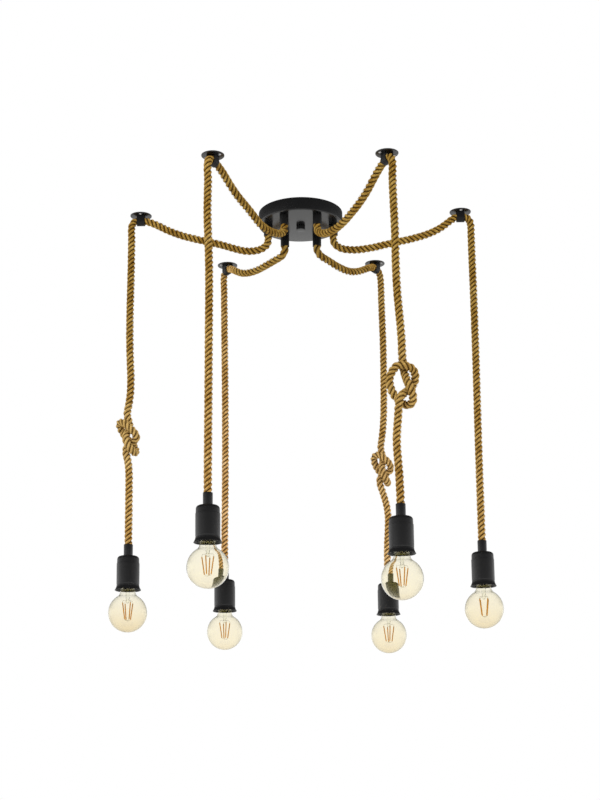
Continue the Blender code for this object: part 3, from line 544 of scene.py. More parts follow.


# Round the rope the fibres of its yarns run nearly along it; the grooves between
# the strands are painted in deep shade, with loose fibres across them
hemp = Finish("hemp_rope", roughness=0.85, specular_ior_level=0.08)
lay = hemp.node("UVMap", {"uv_map": "lay"})
crown, rubbed, tone = [hemp.attribute(name) for name in ("crown", "rubbed", "tone")]
yarn = ((hemp.part(lay, "X") * YARNS + hemp.part(lay, "Y") * YARN_LEAN)
        * tau).math("SINE") * 0.5 + 0.5
fine = hemp.node("Mapping", Vector=lay, Scale=(75.0, 130.0, 1.0))
coarse = hemp.node("Mapping", Vector=lay, Scale=(7.0, 60.0, 1.0))
fibres, tufts = hemp.noise(fine, 1.0, 4.0, 0.65), hemp.noise(coarse, 1.0, 3.0, 0.6)
blotches = hemp.noise(hemp.place(), 24.0, 2.0)
straw = hemp.node("ValToRGB", {"stops": [
    (0.36, shade(96, 60, 12)), (0.48, shade(154, 113, 44)), (0.60, shade(200, 162, 92)),
    (0.74, shade(234, 206, 146))]}, Fac=fibres * 0.55 + tufts * 0.30 + blotches * 0.25)
# Painted shade: the dark colour laid into the grooves, where the lit share is low
groove = hemp.mix(rubbed, shade(52, 29, 0), shade(98, 68, 16))
strand = hemp.mix(rubbed, straw, shade(240, 210, 144))
lit = (crown * 2.2 + fibres * 0.6 + yarn * 0.15 - 0.70).kept()
# Painted light: the hemp darker and more saturated near the ceiling, lighter towards the lamps
level = hemp.node("CombineColor", Red=tone, Green=tone, Blue=tone * tone)
hemp.set(base_color=hemp.mix(1.0, hemp.mix(lit, groove, strand), level,
                             blend_type="MULTIPLY", clamp_result=True))
hemp.bump(yarn * 0.7 + fibres * 0.6, 0.00035, 0.9)


def fitted(name, mesh, finish, body, slot, *nodes):
    """An object of the light that rides on a body, stands for its CAD nodes and
    takes the given finish. Its slot is not used."""
    piece = placed(name, mesh)
    mesh.materials.append(finish.material)
    if nodes:
        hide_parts(*nodes)
    if body is not None:
        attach(piece, body)
    return piece


for arm in ARMS:
    line, marks = evenly(rope_line(arm), ROPE_RING)
    rope = fitted("rope_" + arm, rope_mesh("rope_" + arm, line, marks, arm), hemp, None,
                  "hemp_rope", "rope_run_" + arm, "rope_drop_" + arm)
    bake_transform(rope)

# Canopy: a pan spun from 1.5 mm steel sheet and sprayed glossy black, its open
# side against the ceiling. It hangs on the domed nut of the centre rod.
CANOPY_R = 0.090
CANOPY_DEPTH = 0.028
SHEET = 0.0015
CANOPY_CORNER = 0.0024
CANOPY_EDGE = 0.0004
ROD_R = 0.004
SHARP = radians(38)  # edges that turn by more than this stay sharp
SAME_PLACE = 1e-7


def soften(corners, steps=5):
    """A profile through corners (radius, height, rounding). Each corner becomes the
    arc that touches both its sides: a conic whose weight is the sine of half the
    corner's angle."""
    corners = np.array(corners, dtype=float)
    points, rounding = corners[:, :2], corners[:, 2:]
    back = unit(np.roll(points, 1, axis=0) - points)
    onward = unit(np.roll(points, -1, axis=0) - points)
    half = np.arccos(np.clip((back * onward).sum(axis=1, keepdims=True), -1, 1)) / 2
    reach = rounding / np.tan(half)
    start, end = (points + back * reach)[:, None], (points + onward * reach)[:, None]
    share = np.linspace(0, 1, steps + 1)[None, :, None]
    pull = 2 * share * (1 - share) * np.sin(half)[:, None]
    arcs = ((1 - share) ** 2 * start + pull * points[:, None] + share ** 2 * end) / (
        (1 - share) ** 2 + pull + share ** 2)
    profile = arcs.reshape(-1, 2)
    moved = np.linalg.norm(np.diff(profile, axis=0), axis=1) > SAME_PLACE
    return profile[np.concatenate([[True], moved])]


def welded(mesh):
    """The mesh with its doubles merged, which closes the poles of a turned piece."""
    bm = bmesh.new()
    bm.from_mesh(mesh)
    bmesh.ops.remove_doubles(bm, verts=bm.verts, dist=SAME_PLACE)
    bm.to_mesh(mesh)
    bm.free()
    return mesh


def turned(name, profile, sides=64, ring=False, swell=0.0):
    """A piece of revolution: the profile's radius and height at every angle, with
    swell, one number or an array (rows, sides), added to the radius. The profile
    runs anticlockwise, up the outside, as a closed ring or from pole to pole."""
    profile = np.asarray(profile, dtype=float)
    angle = np.arange(sides) * tau / sides
    radius = profile[:, :1] + swell * np.ones((1, sides))
    grid = np.stack([radius * np.cos(angle), radius * np.sin(angle),
                     np.broadcast_to(profile[:, 1:], radius.shape)], axis=-1)
    gone = np.concatenate([[0], np.cumsum(np.linalg.norm(np.diff(profile, axis=0), axis=1))])
    shares = np.arange(sides + 1) / sides
    uv = np.stack(np.broadcast_arrays(shares[None], gone[:, None]), axis=-1)
    if ring:
        closing = gone[-1] + np.linalg.norm(profile[0] - profile[-1])
        last = np.stack(np.broadcast_arrays(shares[None], closing), axis=-1)
        mesh = skin(name, grid, "joined", np.concatenate([uv, last]))
    else:
        mesh = welded(skin(name, grid, "poles", uv))
    mesh.set_sharp_from_angle(angle=SHARP)
    return mesh


def black_finish(name, level, roughness, peel, seed, specular=0.5):
    """Sprayed black: a dark base with faint dust, a gloss that varies with the
    hand marks on it, and orange peel about a millimetre across."""
    finish = Finish(name, specular_ior_level=specular)
    place = finish.node("Mapping", Vector=finish.place(), Location=(seed, seed, seed))
    marks = finish.noise(place, 38.0, 4.0, 0.62)
    grain = finish.noise(place, 1100.0, 2.0, 0.5)
    dust = finish.node("ValToRGB", {"stops": [(0.62, (0, 0, 0, 1)), (0.80, (1, 1, 1, 1))]},
                       Fac=finish.noise(place, 2600.0, 3.0, 0.7))
    dark, light = shade(level, level, level + 1), shade(level + 26, level + 25, level + 24)
    finish.set(base_color=finish.mix(dust * 0.14 + marks * 0.08, dark, light),
               roughness=marks * 0.16 + grain * 0.06 + (roughness - 0.11))
    finish.bump(grain * 0.8 + marks * 0.2, peel, 0.6)
    return finish


gloss_black = black_finish("canopy_black", 12, 0.20, 0.00003, 3.1)
fitted("canopy_pan", turned("canopy_pan", soften([
    (ROD_R, -CANOPY_DEPTH, 0), (CANOPY_R, -CANOPY_DEPTH, CANOPY_CORNER),
    (CANOPY_R, 0, CANOPY_EDGE), (CANOPY_R - SHEET, 0, CANOPY_EDGE),
    (CANOPY_R - SHEET, SHEET - CANOPY_DEPTH, CANOPY_CORNER - SHEET),
    (ROD_R, SHEET - CANOPY_DEPTH, 0)], steps=8), 128, ring=True),
    gloss_black, "ceiling_assembly", "black_lacquer", "canopy")

# Centre nut: a turned blind nut, screwed up the rod against the canopy, sprayed
# with it.
NUT_R = 0.0094
NUT_EDGE = 0.0012
NUT_HEIGHT = 0.0095
NUT_BORE = 0.006
nut_top = -CANOPY_DEPTH - FIT_GAP / 2
nut_low = nut_top - NUT_HEIGHT
bore_r = ROD_R + FIT_GAP
fitted("centre_nut", turned("centre_nut", soften([
    (0, nut_low, 0), (NUT_R, nut_low, NUT_EDGE), (NUT_R, nut_top, 0.0003),
    (bore_r, nut_top, 0), (bore_r, nut_top - NUT_BORE, 0), (0, nut_top - NUT_BORE, 0)]), 48),
    gloss_black, "ceiling_assembly", "black_lacquer", "finial_nut")

# Crossbar, centre rod and terminal block inside the canopy: a stamped zinc-plated
# bar, an 8 mm rod with rolled thread, and a moulded block with three poles.
ROD_PITCH = 0.00125
ROD_THREAD = 0.0006
rod_low = -CANOPY_DEPTH - NUT_BORE
zinc = Finish("zinc_plate", metallic=1.0)
place = zinc.place()
spangle = zinc.node("TexVoronoi", {"feature": "F1"}, Vector=place, Scale=420.0)
clouds = zinc.noise(place, 90.0, 3.0)
zinc.set(base_color=zinc.mix(clouds * 0.6 + spangle * 0.5, shade(150, 152, 156),
                             shade(206, 208, 208)), roughness=clouds * 0.3 + 0.22)
zinc.bump(spangle, 0.00005, 0.5)


def threaded(name, below, radius, heights, above, sides, pitch, depth, ring=False):
    """A turned piece with a rolled thread between two plain stretches. It takes off
    the radius depth times half of one minus the cosine of (height / pitch - angle),
    faded in and out over one pitch. A negative depth adds it."""
    angle = np.arange(sides) * tau / sides
    wave = (1 - np.cos(heights[:, None] * tau / pitch - angle)) / 2
    fade = ease((heights - heights.min()) / pitch) * ease((heights.max() - heights) / pitch)
    column = np.stack([np.full(len(heights), radius), heights], axis=1)
    profile = np.concatenate([below, column, np.reshape(above, (-1, 2))])
    swell = np.zeros((len(profile), sides))
    swell[len(below):len(below) + len(heights)] = -depth * wave * fade[:, None]
    return turned(name, profile, sides, ring, swell)


rod = threaded("centre_rod", [(0, rod_low)], ROD_R,
               np.linspace(rod_low, 0, round(-rod_low / ROD_PITCH * 7)), [(0, 0)],
               24, ROD_PITCH, ROD_THREAD)
fitted("centre_rod", rod, zinc, "ceiling_assembly", "zinc_steel", "threaded_rod")
plastic = Finish("moulded_white", roughness=0.45, specular_ior_level=0.4)
place = plastic.place()
flow = plastic.noise(place, 160.0, 3.0)
plastic.set(base_color=plastic.mix(flow, shade(224, 222, 214), shade(238, 237, 232)))
plastic.bump(plastic.noise(place, 1500.0, 2.0), 0.00002, 0.5)
for node, finish, slot in (("crossbar", zinc, "zinc_steel"),
                           ("terminal_block", plastic, "white_plastic")):
    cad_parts[node].material_slots[0].material = finish.material


def hung(arm, reach, height, body, *pieces):
    """Pieces of one arm, moved out along it and down and turned with it. Each has
    a label, a mesh, a finish, a slot and any CAD node that it stands for."""
    for label, mesh, finish, slot, *nodes in pieces:
        copy = mesh.copy()
        copy.transform(Matrix.Rotation(radians(ARM_AZIMUTH[arm]), 4, "Z")
                       @ Matrix.Translation((reach, 0, height)))
        fitted(label.format(arm), copy, finish, body, slot, *[n + arm for n in nodes])


# Canopy grips: black cord grips, one for each rope, clamped through the canopy by
# a zinc nut on their hollow stub. The rope enters their mouth from below.
GRIP_R = 0.0094
GRIP_BORE_R = 0.0079  # leaves a gap round the rope
GRIP_HEIGHT = 0.0222
GRIP_BORE = 0.012
STUB_R = 0.005
STUB_TOP = 0.0088
STUB_NUT_R = 0.0085
STUB_NUT_HEIGHT = 0.005
STUB_NUT_CUT = 0.0008  # off the corners of its six sides
grip_black = black_finish("grip_black", 10, 0.45, 0.00002, 7.2, 0.25)
grip_top = -FIT_GAP / 2
grip_low = grip_top - GRIP_HEIGHT
grip_mesh = turned("grip", soften([
    (0, grip_low + GRIP_BORE, 0), (GRIP_BORE_R, grip_low + GRIP_BORE, 0),
    (GRIP_BORE_R, grip_low, 0.0005), (GRIP_R, grip_low, 0.0006), (GRIP_R, grip_top, 0.0005),
    (STUB_R, grip_top, 0), (STUB_R, STUB_TOP, 0.0004), (0, STUB_TOP, 0)]), 48)
nut_end = SHEET + STUB_NUT_HEIGHT
nut_mesh = turned("stub_nut", soften([
    (STUB_R, SHEET, 0), (STUB_NUT_R - STUB_NUT_CUT, SHEET, 0),
    (STUB_NUT_R, SHEET + STUB_NUT_CUT, 0), (STUB_NUT_R, nut_end - STUB_NUT_CUT, 0),
    (STUB_NUT_R - STUB_NUT_CUT, nut_end, 0), (STUB_R, nut_end, 0)]), 6, ring=True)
nut_mesh.shade_flat()
for arm in ARMS:
    hung(arm, CANOPY_MOUTH[0], -CANOPY_DEPTH, "ceiling_assembly",
         ("canopy_grip_body_{}", grip_mesh, grip_black, "black_lacquer", "canopy_grip_"),
         ("grip_nut_{}", nut_mesh, zinc, "zinc_steel"))

# Ceiling hooks: a pressed black disc with a flat strap bent to a U and riveted
# through it. Two small pan-head screws beside the strap hold it to the ceiling.
HOOK_REACH = 0.344
DISC_R = 0.023
DISC_THICK = 0.002
STRAP_WIDTH = 0.017
STRAP_THICK = 0.0015
STRAP_DROP = 0.0230
STRAP_INNER = 0.0083  # half its width inside
STRAP_EDGE = 0.0005
SCREW_R = 0.0034
SCREW_HEIGHT = 0.0017
SCREW_RECESS = 0.0011
SCREW_SHANK = 0.0016
SHANK_TOP = 0.0015
CROSS_WIDTH = 0.14  # of the recess, as a share of the head's radius
CROSS_REACH = 0.62
HEAD_ROUND = 0.98  # a little under 1, so that the head has an edge
SCREW_OFFSET = 0.0160
SCREW_TURN = 90  # radians of turn for each metre of offset


def strap_mesh():
    """A rounded strip carried along a U. Half-way through its thickness the U runs
    down one side, round a half circle and up the other, in the plane across the
    arm; the strip's section is a rectangle with rounded corners."""
    middle = STRAP_INNER + STRAP_THICK / 2
    low = middle + STRAP_THICK / 2 - STRAP_DROP
    turn = np.linspace(pi, tau, 25)
    bend = np.stack([middle * np.cos(turn), low + middle * np.sin(turn)], axis=1)
    line = np.concatenate([[(-middle, -DISC_THICK / 2)], bend, [(middle, -DISC_THICK / 2)]])
    ways = unit(np.gradient(line, axis=0))
    ways[0] = ways[1] = (0, -1)
    ways[-1] = ways[-2] = (0, 1)
    outward = np.stack([ways[:, 1], -ways[:, 0]], axis=1)
    half, thick = STRAP_WIDTH / 2, STRAP_THICK / 2
    section = soften([(x, y, STRAP_EDGE) for x, y in (
        (-half, -thick), (half, -thick), (half, thick), (-half, thick))], 3)
    grid = np.empty((len(line), len(section), 3))
    grid[..., 0] = section[:, 0]
    grid[..., 1:] = line[:, None] + outward[:, None] * section[None, :, 1:]
    mesh = skin("strap", grid)
    mesh.set_sharp_from_angle(angle=SHARP)
    return mesh


def screw_head():
    """A pan head, seen from below: at a share r of its radius its face hangs by its
    height times sqrt(1 - HEAD_ROUND r^2), less the recess in the arms of a cross."""
    rings = np.linspace(0, 1, 15)[:, None]
    angle = np.arange(48)[None] * tau / 48
    flat = np.concatenate([np.cos(angle), np.sin(angle)])
    x, y = SCREW_R * rings * flat[:1], SCREW_R * rings * flat[1:]
    soft = SCREW_R * CROSS_WIDTH
    arms = [ease((soft * 1.5 - abs(p)) / soft) * ease((SCREW_R * CROSS_REACH - abs(q)) / soft)
            for p, q in ((x, y), (y, x))]
    z = SCREW_RECESS * np.maximum(*arms) - SCREW_HEIGHT * np.sqrt(1 - rings ** 2 * HEAD_ROUND)
    rim = [np.stack([*(radius * flat), np.full(48, height)], axis=-1)[None]
           for radius, height in ((SCREW_R, 0), (SCREW_SHANK, 0),
                                  (SCREW_SHANK, SHANK_TOP), (0, SHANK_TOP))]
    return welded(skin("screw", np.concatenate([np.stack([x, y, z], axis=-1), *rim]), "poles"))


steel_black = black_finish("hook_black", 12, 0.24, 0.00003, 12.4)
strap_black = black_finish("strap_black", 14, 0.50, 0.00004, 13.1, 0.2)
screw_steel = black_finish("screw_black", 170, 0.30, 0.00001, 15.0)
screw_steel.set(metallic=0.85)
disc_mesh = turned("disc", soften([
    (0, -DISC_THICK, 0), (DISC_R, -DISC_THICK, 0.0013), (DISC_R, 0, 0.0002), (0, 0, 0)]), 72)
strap = strap_mesh()
screw = screw_head()
for arm in ARMS:
    hung(arm, HOOK_REACH, 0, "ceiling_assembly",
         ("hook_disc_{}", disc_mesh, steel_black, "black_steel", "ceiling_hook_"),
         ("hook_strap_{}", strap, strap_black, "black_steel", "ceiling_hook_"))
    # Each screw stops at a turn of its own: its arm's degrees are read as radians
    for side, offset in (("a", -SCREW_OFFSET), ("b", SCREW_OFFSET)):
        own = screw.copy()
        own.transform(Matrix.Translation((0, offset, -DISC_THICK))
                      @ Matrix.Rotation(ARM_AZIMUTH[arm] + offset * SCREW_TURN, 4, "Z"))
        hung(arm, HOOK_REACH, 0, "ceiling_assembly",
             ("hook_screw_{}_" + side, own, screw_steel, "black_steel"))

# Lamp grips: the same grips turned over and a little taller. Their stub goes down
# through the cup and carries it and the lampholder.
CUP_HEIGHT = 0.0705
LAMP_STUB = 0.0095  # of the stub, below the cup's top
satin_black = black_finish("satin_black", 15, 0.38, 0.00002, 7.7, 0.42)
stub_low, lamp_grip_low = CUP_HEIGHT - LAMP_STUB, CUP_HEIGHT + FIT_GAP / 2
bore_low = LAMP_MOUTH - LAMP_BORE - FIT_GAP
lamp_grip_mesh = turned("lamp_grip", soften([
    (0, stub_low, 0), (STUB_R, stub_low, 0.0004), (STUB_R, lamp_grip_low, 0),
    (GRIP_R, lamp_grip_low, 0.0006), (GRIP_R, LAMP_MOUTH, 0.0007),
    (GRIP_BORE_R, LAMP_MOUTH, 0.0005), (GRIP_BORE_R, bore_low, 0), (0, bore_low, 0)]), 48)

# Lamp cups: spun steel shells in satin black, with a rounded shoulder, an upper
# band a little narrower than the body, and a flared lip below a fine groove.
BAND_R = 0.0225
BAND_LOW_R = 0.0228  # the band narrows a little towards the shoulder
BAND_HEIGHT = 0.015
CUP_R = 0.0235
CUP_WALL = 0.0013
SHOULDER = 0.0065
LIP_R = 0.0270
LIP_ROUND = 0.0004  # by which the lip's rounding hangs lower
FLARE = 0.0088
FLARE_POWER = 1.7
GROOVE_DEPTH = 0.0006
step_z = CUP_HEIGHT - BAND_HEIGHT


def flare_curve(body, lip):
    """The flare from its foot down to the lip: at a share s of the way down it has
    come s to the power of FLARE_POWER of the way out."""
    share = np.linspace(0, 1, 9)
    return np.stack([body + (lip - body) * share ** FLARE_POWER, FLARE * (1 - share)], axis=1)


cup_outside = soften([
    (CUP_R, FLARE + 0.0001, 0), (CUP_R, FLARE + 0.0005, 0.0002),
    (CUP_R - GROOVE_DEPTH, FLARE + 0.0012, 0.0003), (CUP_R, FLARE + 0.0036, 0.0008),
    (CUP_R, step_z - 0.0006, 0.0004), (BAND_LOW_R, step_z, 0.0003),
    (BAND_R, CUP_HEIGHT, SHOULDER), (STUB_R, CUP_HEIGHT, 0)], 6)
cup_inside = soften([
    (STUB_R, CUP_HEIGHT - CUP_WALL, 0),
    (BAND_R - CUP_WALL, CUP_HEIGHT - CUP_WALL, SHOULDER - CUP_WALL),
    (BAND_R - CUP_WALL, step_z, 0.001), (CUP_R - CUP_WALL, step_z - 0.0015, 0.001),
    (CUP_R - CUP_WALL, FLARE + 0.0003, 0)])
lip_round = [(LIP_R - CUP_WALL * 0.75, -LIP_ROUND), (LIP_R - CUP_WALL * 0.3, -LIP_ROUND)]
cup_mesh = turned("cup", np.concatenate([
    lip_round, flare_curve(CUP_R, LIP_R)[::-1], cup_outside, cup_inside,
    flare_curve(CUP_R - CUP_WALL, LIP_R - CUP_WALL)]), 96, ring=True)

# Lampholders: black moulded holders for a 27 mm screw cap, each with a threaded
# nickel sleeve pressed into its bore. The stub of the lamp grip carries them.
HOLDER_R = 0.0190
HOLDER_NECK_R = 0.0140
HOLDER_MOUTH = 0.006
HOLDER_TOP = CUP_HEIGHT - 0.0018
NECK_LENGTH = 0.009
NECK_SLOPE = 0.006  # from the neck's foot down to the full width
CAP_R = 0.0132
CAP_EDGE = 0.0040  # above the cup's lip, as all heights of a lamp are
CAP_HEIGHT = 0.0270
CAP_PITCH = 0.00363
CAP_THREAD = 0.0008
SLEEVE_WALL = 0.0003
SLEEVE_INSET = 0.0025  # from the holder's mouth up to the sleeve's edge
SLEEVE_END = 0.003  # from the bore's end down to the sleeve's
sleeve_r = CAP_R + FIT_GAP
bore = sleeve_r + CAP_THREAD + SLEEVE_WALL
bore_top = CAP_EDGE + CAP_HEIGHT + FIT_GAP
neck_low = HOLDER_TOP - NECK_LENGTH
holder_outer = soften([
    (bore, HOLDER_MOUTH, 0.0005), (HOLDER_R, HOLDER_MOUTH, 0.0008),
    (HOLDER_R, neck_low - NECK_SLOPE, 0.002), (HOLDER_NECK_R, neck_low, 0.002),
    (HOLDER_NECK_R, HOLDER_TOP, 0.0006), (0, HOLDER_TOP, 0)])
holder_inner = soften([
    (0, bore_top, 0), (bore, bore_top, 0.0005), (bore, HOLDER_MOUTH + 0.001, 0)])
holder_mesh = turned("holder", np.concatenate([holder_inner, holder_outer]), 64)
moulded = black_finish("holder_black", 30, 0.42, 0.00004, 21.0)
sleeve_low, sleeve_high = HOLDER_MOUTH + SLEEVE_INSET, bore_top - SLEEVE_END
sleeve_back = bore - FIT_GAP / 4
sleeve_mesh = threaded("sleeve", [(sleeve_back, sleeve_low), (sleeve_back, sleeve_high)],
                       sleeve_r, np.linspace(sleeve_high, sleeve_low, 40), [],
                       64, CAP_PITCH, -CAP_THREAD, ring=True)
nickel = Finish("nickel_plate", metallic=1.0)
tarnish = nickel.noise(nickel.place(), 240.0, 4.0, 0.6)
nickel.set(base_color=nickel.mix(tarnish, shade(150, 146, 134), shade(196, 192, 182)),
           roughness=tarnish * 0.25 + 0.16)
for arm in ARMS:
    hung(arm, LAMP_REACH[arm], LAMP_LIP[arm], "pendant_" + arm,
         ("lamp_grip_body_{}", lamp_grip_mesh, satin_black, "black_lacquer", "lamp_grip_"),
         ("lamp_cup_shell_{}", cup_mesh, satin_black, "black_lacquer", "lamp_cup_"),
         ("holder_{}", holder_mesh, moulded, "black_holder", "lampholder_"),
         ("holder_sleeve_{}", sleeve_mesh, nickel, "nickel_cap"))

# Bulbs: 80 mm globes of thin blown glass, faintly gilded towards the bottom, each
# sealed into a nickel-plated 27 mm screw cap.
GLOBE_R = 0.040
GLOBE_DROP = 0.0475  # of its centre, below the lip
GLASS_WALL = 0.0007
NECK_R = 0.0160
FILLET = 0.012
NECK_END = 0.0110
THROAT_R = CAP_R - 0.0013  # of the neck inside the cap
GILT = on_arms(0.60, 0.45, 0.0, 1.0, 0.0, 0.0)  # how deep the gold at each foot is


def glass_profile(offset):
    """From the bottom pole up: the globe's circle, the fillet's circle that touches
    it and the neck, the neck, and its throat inside the cap. The offset is taken
    off the globe and the neck and added to the fillet."""
    rise = sqrt((GLOBE_R + FILLET) ** 2 - (NECK_R + FILLET) ** 2)
    meet = atan2(rise, NECK_R + FILLET)
    on_globe = np.linspace(-pi / 2, meet, 44)
    on_fillet = np.linspace(pi + meet, pi, 11)[1:]
    globe = np.stack([(GLOBE_R - offset) * np.cos(on_globe),
                      (GLOBE_R - offset) * np.sin(on_globe) - GLOBE_DROP], axis=1)
    globe[0, 0] = 0
    fillet = np.stack([NECK_R + FILLET + (FILLET + offset) * np.cos(on_fillet),
                       rise - GLOBE_DROP + (FILLET + offset) * np.sin(on_fillet)], axis=1)
    throat, neck = THROAT_R - offset, NECK_R - offset
    top = soften([(neck, fillet[-1, 1] + 0.0002, 0), (neck, 0.0014, 0.0014),
                  (throat, CAP_EDGE - 0.0002, 0.001), (throat, NECK_END, 0)])
    return np.concatenate([globe, fillet, top])


glass_mesh = turned("glass", np.concatenate([
    glass_profile(0), glass_profile(GLASS_WALL)[::-1]]), 96)

CAP_SHEET = 0.0008
CAP_FLOOR = 0.010  # of its inside, above its edge
THREAD_START = 0.0030  # above its edge
THREAD_END = 0.0070  # below the cap's top
TIP_R = 0.0085
TIP_HEIGHT = 0.0012
rim_r, cap_floor = CAP_R - 0.0001, CAP_EDGE + CAP_FLOOR
cap_high = CAP_EDGE + CAP_HEIGHT - THREAD_END
cap_mesh = threaded(
    "cap",
    soften([(0, cap_floor, 0), (rim_r - CAP_SHEET, cap_floor, 0),
            (rim_r - CAP_SHEET, CAP_EDGE, 0.0002), (rim_r, CAP_EDGE, 0.0004),
            (rim_r, CAP_EDGE + 0.0028, 0)]),
    CAP_R, np.linspace(CAP_EDGE + THREAD_START, cap_high, 40),
    soften([(CAP_R - 0.0004, cap_high + 0.0004, 0), (CAP_R - 0.0015, cap_high + 0.0012, 0.0006),
            (TIP_R, cap_high + 0.0040, 0.0006), (0, cap_high + 0.0042, 0)]),
    64, CAP_PITCH, CAP_THREAD)
tip_low = cap_high + 0.0043
tip_high, solder_high = tip_low + TIP_HEIGHT, CAP_EDGE + CAP_HEIGHT
tip_mesh = turned("tip", soften([
    (0, tip_low - 0.001, 0), (TIP_R - 0.0005, tip_low - 0.001, 0),
    (TIP_R - 0.0011, tip_high, 0.0005), (0, tip_high, 0)]), 40)
solder_mesh = turned("solder", soften([
    (0, tip_high - 0.0002, 0), (0.0048, tip_high - 0.0002, 0), (0.0040, solder_high, 0.0007),
    (0, solder_high, 0)]), 32)

glass = Finish("blown_glass", roughness=0.0, transmission_weight=1.0, ior=1.45,
               specular_tint=shade(190, 182, 92))
up_the_globe = (glass.part(glass.node("UVMap", {"uv_map": "round"}), "Y")
                * (1 / (pi * GLOBE_R))).math("MINIMUM", 1.0)
cloud = glass.noise(glass.place(), 4.0, 1.0) * 0.6 - 0.3
tint = glass.node("ValToRGB", {"stops": [
    (0.0, shade(248, 231, 199)), (0.30, shade(251, 243, 223)),
    (1.0, shade(253, 251, 241))]}, Fac=up_the_globe + cloud)
gilding = glass.attribute("gilt") * (1 - up_the_globe) ** 2
edge = glass.node("LayerWeight", Blend=0.35, out="Facing")
rim = (edge ** 2.5 * 1.4).math("MINIMUM", 1.0)
glass.set(base_color=glass.mix(rim, glass.mix(gilding, tint, shade(236, 214, 172)),
                               shade(150, 152, 138)))

black_glass = black_finish("vitrite_black", 16, 0.15, 0.00001, 27.0)

# Stem and filaments: a clear glass stem in the neck, fine wires from it, and four
# filament sticks in yellow phosphor that lean in at the foot, linked there in pairs.
STEM_R = 0.0045
STEM_LOW = -0.0240
FILAMENTS = 4
FILAMENT_R = 0.00110
FILAMENT_TOP = 0.0210 - GLOBE_DROP
FILAMENT_LOW = -0.0135 - GLOBE_DROP
TOP_SPREAD = 0.0118
LOW_SPREAD = 0.0066
WIRE_R = 0.00028
WIRE_STEP = 0.0006
ASLANT = (0.3, 0.9, 0.2)  # a way that no stick or wire follows
BULB_TURN = on_arms(34, 11, 18, 34, 74.5, 20.5)  # degrees that the filaments are turned by


def tube(name, line, radii, columns):
    """A round bar along a line: at each place a circle across its way, of that
    place's own radius; a radius of 0 at an end closes it in a point."""
    ways = unit(np.gradient(line, axis=0))
    first = unit(np.cross(ways, ASLANT))
    second = np.cross(ways, first)
    angle = np.arange(columns) * tau / columns
    ring = (first[:, None] * np.cos(angle)[None, :, None]
            + second[:, None] * np.sin(angle)[None, :, None])
    grid = line[:, None] + ring * np.broadcast_to(radii, len(line))[:, None, None]
    return welded(skin(name, grid, "poles"))


def together(name, meshes):
    """One mesh of several closed ones."""
    bm = bmesh.new()
    for mesh in meshes:
        bm.from_mesh(mesh)
    whole = bpy.data.meshes.new(name)
    bm.to_mesh(whole)
    bm.free()
    whole.shade_smooth()
    return whole


def rounded_bar(start, end, radius):
    """Places and radii of a straight bar with round ends: a quarter circle at each,
    radius * (1 - cos a) along and radius * sin a across."""
    length = np.linalg.norm(end - start)
    near = radius * (1 - np.cos(np.linspace(0, pi / 2, 9)))
    marks = np.concatenate([near, length - near[::-1]])
    radii = radius * np.sin(np.linspace(0, pi / 2, 9))
    return (start + (end - start) * marks[:, None] / length,
            np.concatenate([radii, radii[::-1]]))


sticks, wires = [], []
for i in range(FILAMENTS):
    angle = tau * i / FILAMENTS
    way = level_way(angle)
    top = way * TOP_SPREAD + (0, 0, FILAMENT_TOP)
    low = way * LOW_SPREAD + (0, 0, FILAMENT_LOW)
    lean = unit(top - low)
    bar, radii = rounded_bar(low, top, FILAMENT_R)
    sticks.append(tube("stick", bar, radii, 14))
    root = way * (STEM_R * 0.45) + (0, 0, STEM_LOW + 0.004)
    bend = way * (TOP_SPREAD * 0.80) + (0, 0, FILAMENT_TOP + 0.0045)
    wire = smooth_route([root, (root + bend) / 2 - (0, 0, 0.0012), bend, top + lean * 0.0004],
                        (0, 0, -1), -lean, WIRE_STEP)
    wires.append(tube("wire", wire, WIRE_R, 8))
    if i % 2 == 0:
        foot = level_way(angle + pi / 2) * LOW_SPREAD + (0, 0, FILAMENT_LOW)
        middle = (low + foot) / 2 * (0.8, 0.8, 1) - (0, 0, 0.0022)
        link = smooth_route([low + lean * 0.0004, middle, foot + (0, 0, 0.0004)],
                            -lean, (0, 0, 1), WIRE_STEP)
        wires.append(tube("link", link, WIRE_R, 8))
stick_mesh = together("filaments", sticks)
wire_mesh = together("wires", wires)
stem_mesh = turned("stem", soften([
    (0, STEM_LOW - 0.0032, 0), (STEM_R * 0.62, STEM_LOW - 0.0026, 0.0015),
    (STEM_R * 0.66, STEM_LOW + 0.004, 0.002), (STEM_R, STEM_LOW + 0.010, 0.004),
    (STEM_R, 0.006, 0.003), (CAP_R - 0.0022, 0.0125, 0), (0, 0.0125, 0)], 8), 40)

phosphor = Finish("phosphor_yellow", roughness=0.55, specular_ior_level=0.3)
grain = phosphor.noise(phosphor.place(), 900.0, 3.0)
phosphor.set(base_color=phosphor.mix(grain, shade(200, 124, 16), shade(244, 182, 62)))
phosphor.bump(grain, 0.00008, 0.5)
clear = Finish("stem_glass", roughness=0.02, transmission_weight=1.0, ior=1.45)
clear.set(base_color=clear.mix(clear.noise(clear.place(), 60.0), shade(246, 248, 240),
                               shade(254, 254, 251)))

for arm in ARMS:
    globe = glass_mesh.copy()
    mark(globe, "gilt", GILT[arm])
    turned_wires = [mesh.copy() for mesh in (stick_mesh, wire_mesh)]
    for mesh in turned_wires:
        mesh.transform(Matrix.Rotation(radians(BULB_TURN[arm] - ARM_AZIMUTH[arm]), 4, "Z"))
    hung(arm, LAMP_REACH[arm], LAMP_LIP[arm], "bulb_" + arm,
         ("glass_globe_{}", globe, glass, "clear_glass", "bulb_glass_"),
         ("screw_cap_{}", cap_mesh, nickel, "nickel_cap", "bulb_base_"),
         ("cap_insulator_{}", tip_mesh, black_glass, "black_holder"),
         ("cap_solder_{}", solder_mesh, nickel, "nickel_cap"),
         ("stem_{}", stem_mesh, clear, "clear_glass"),
         ("filaments_{}", turned_wires[0], phosphor, "nickel_cap"),
         ("lead_wires_{}", turned_wires[1], nickel, "nickel_cap"))

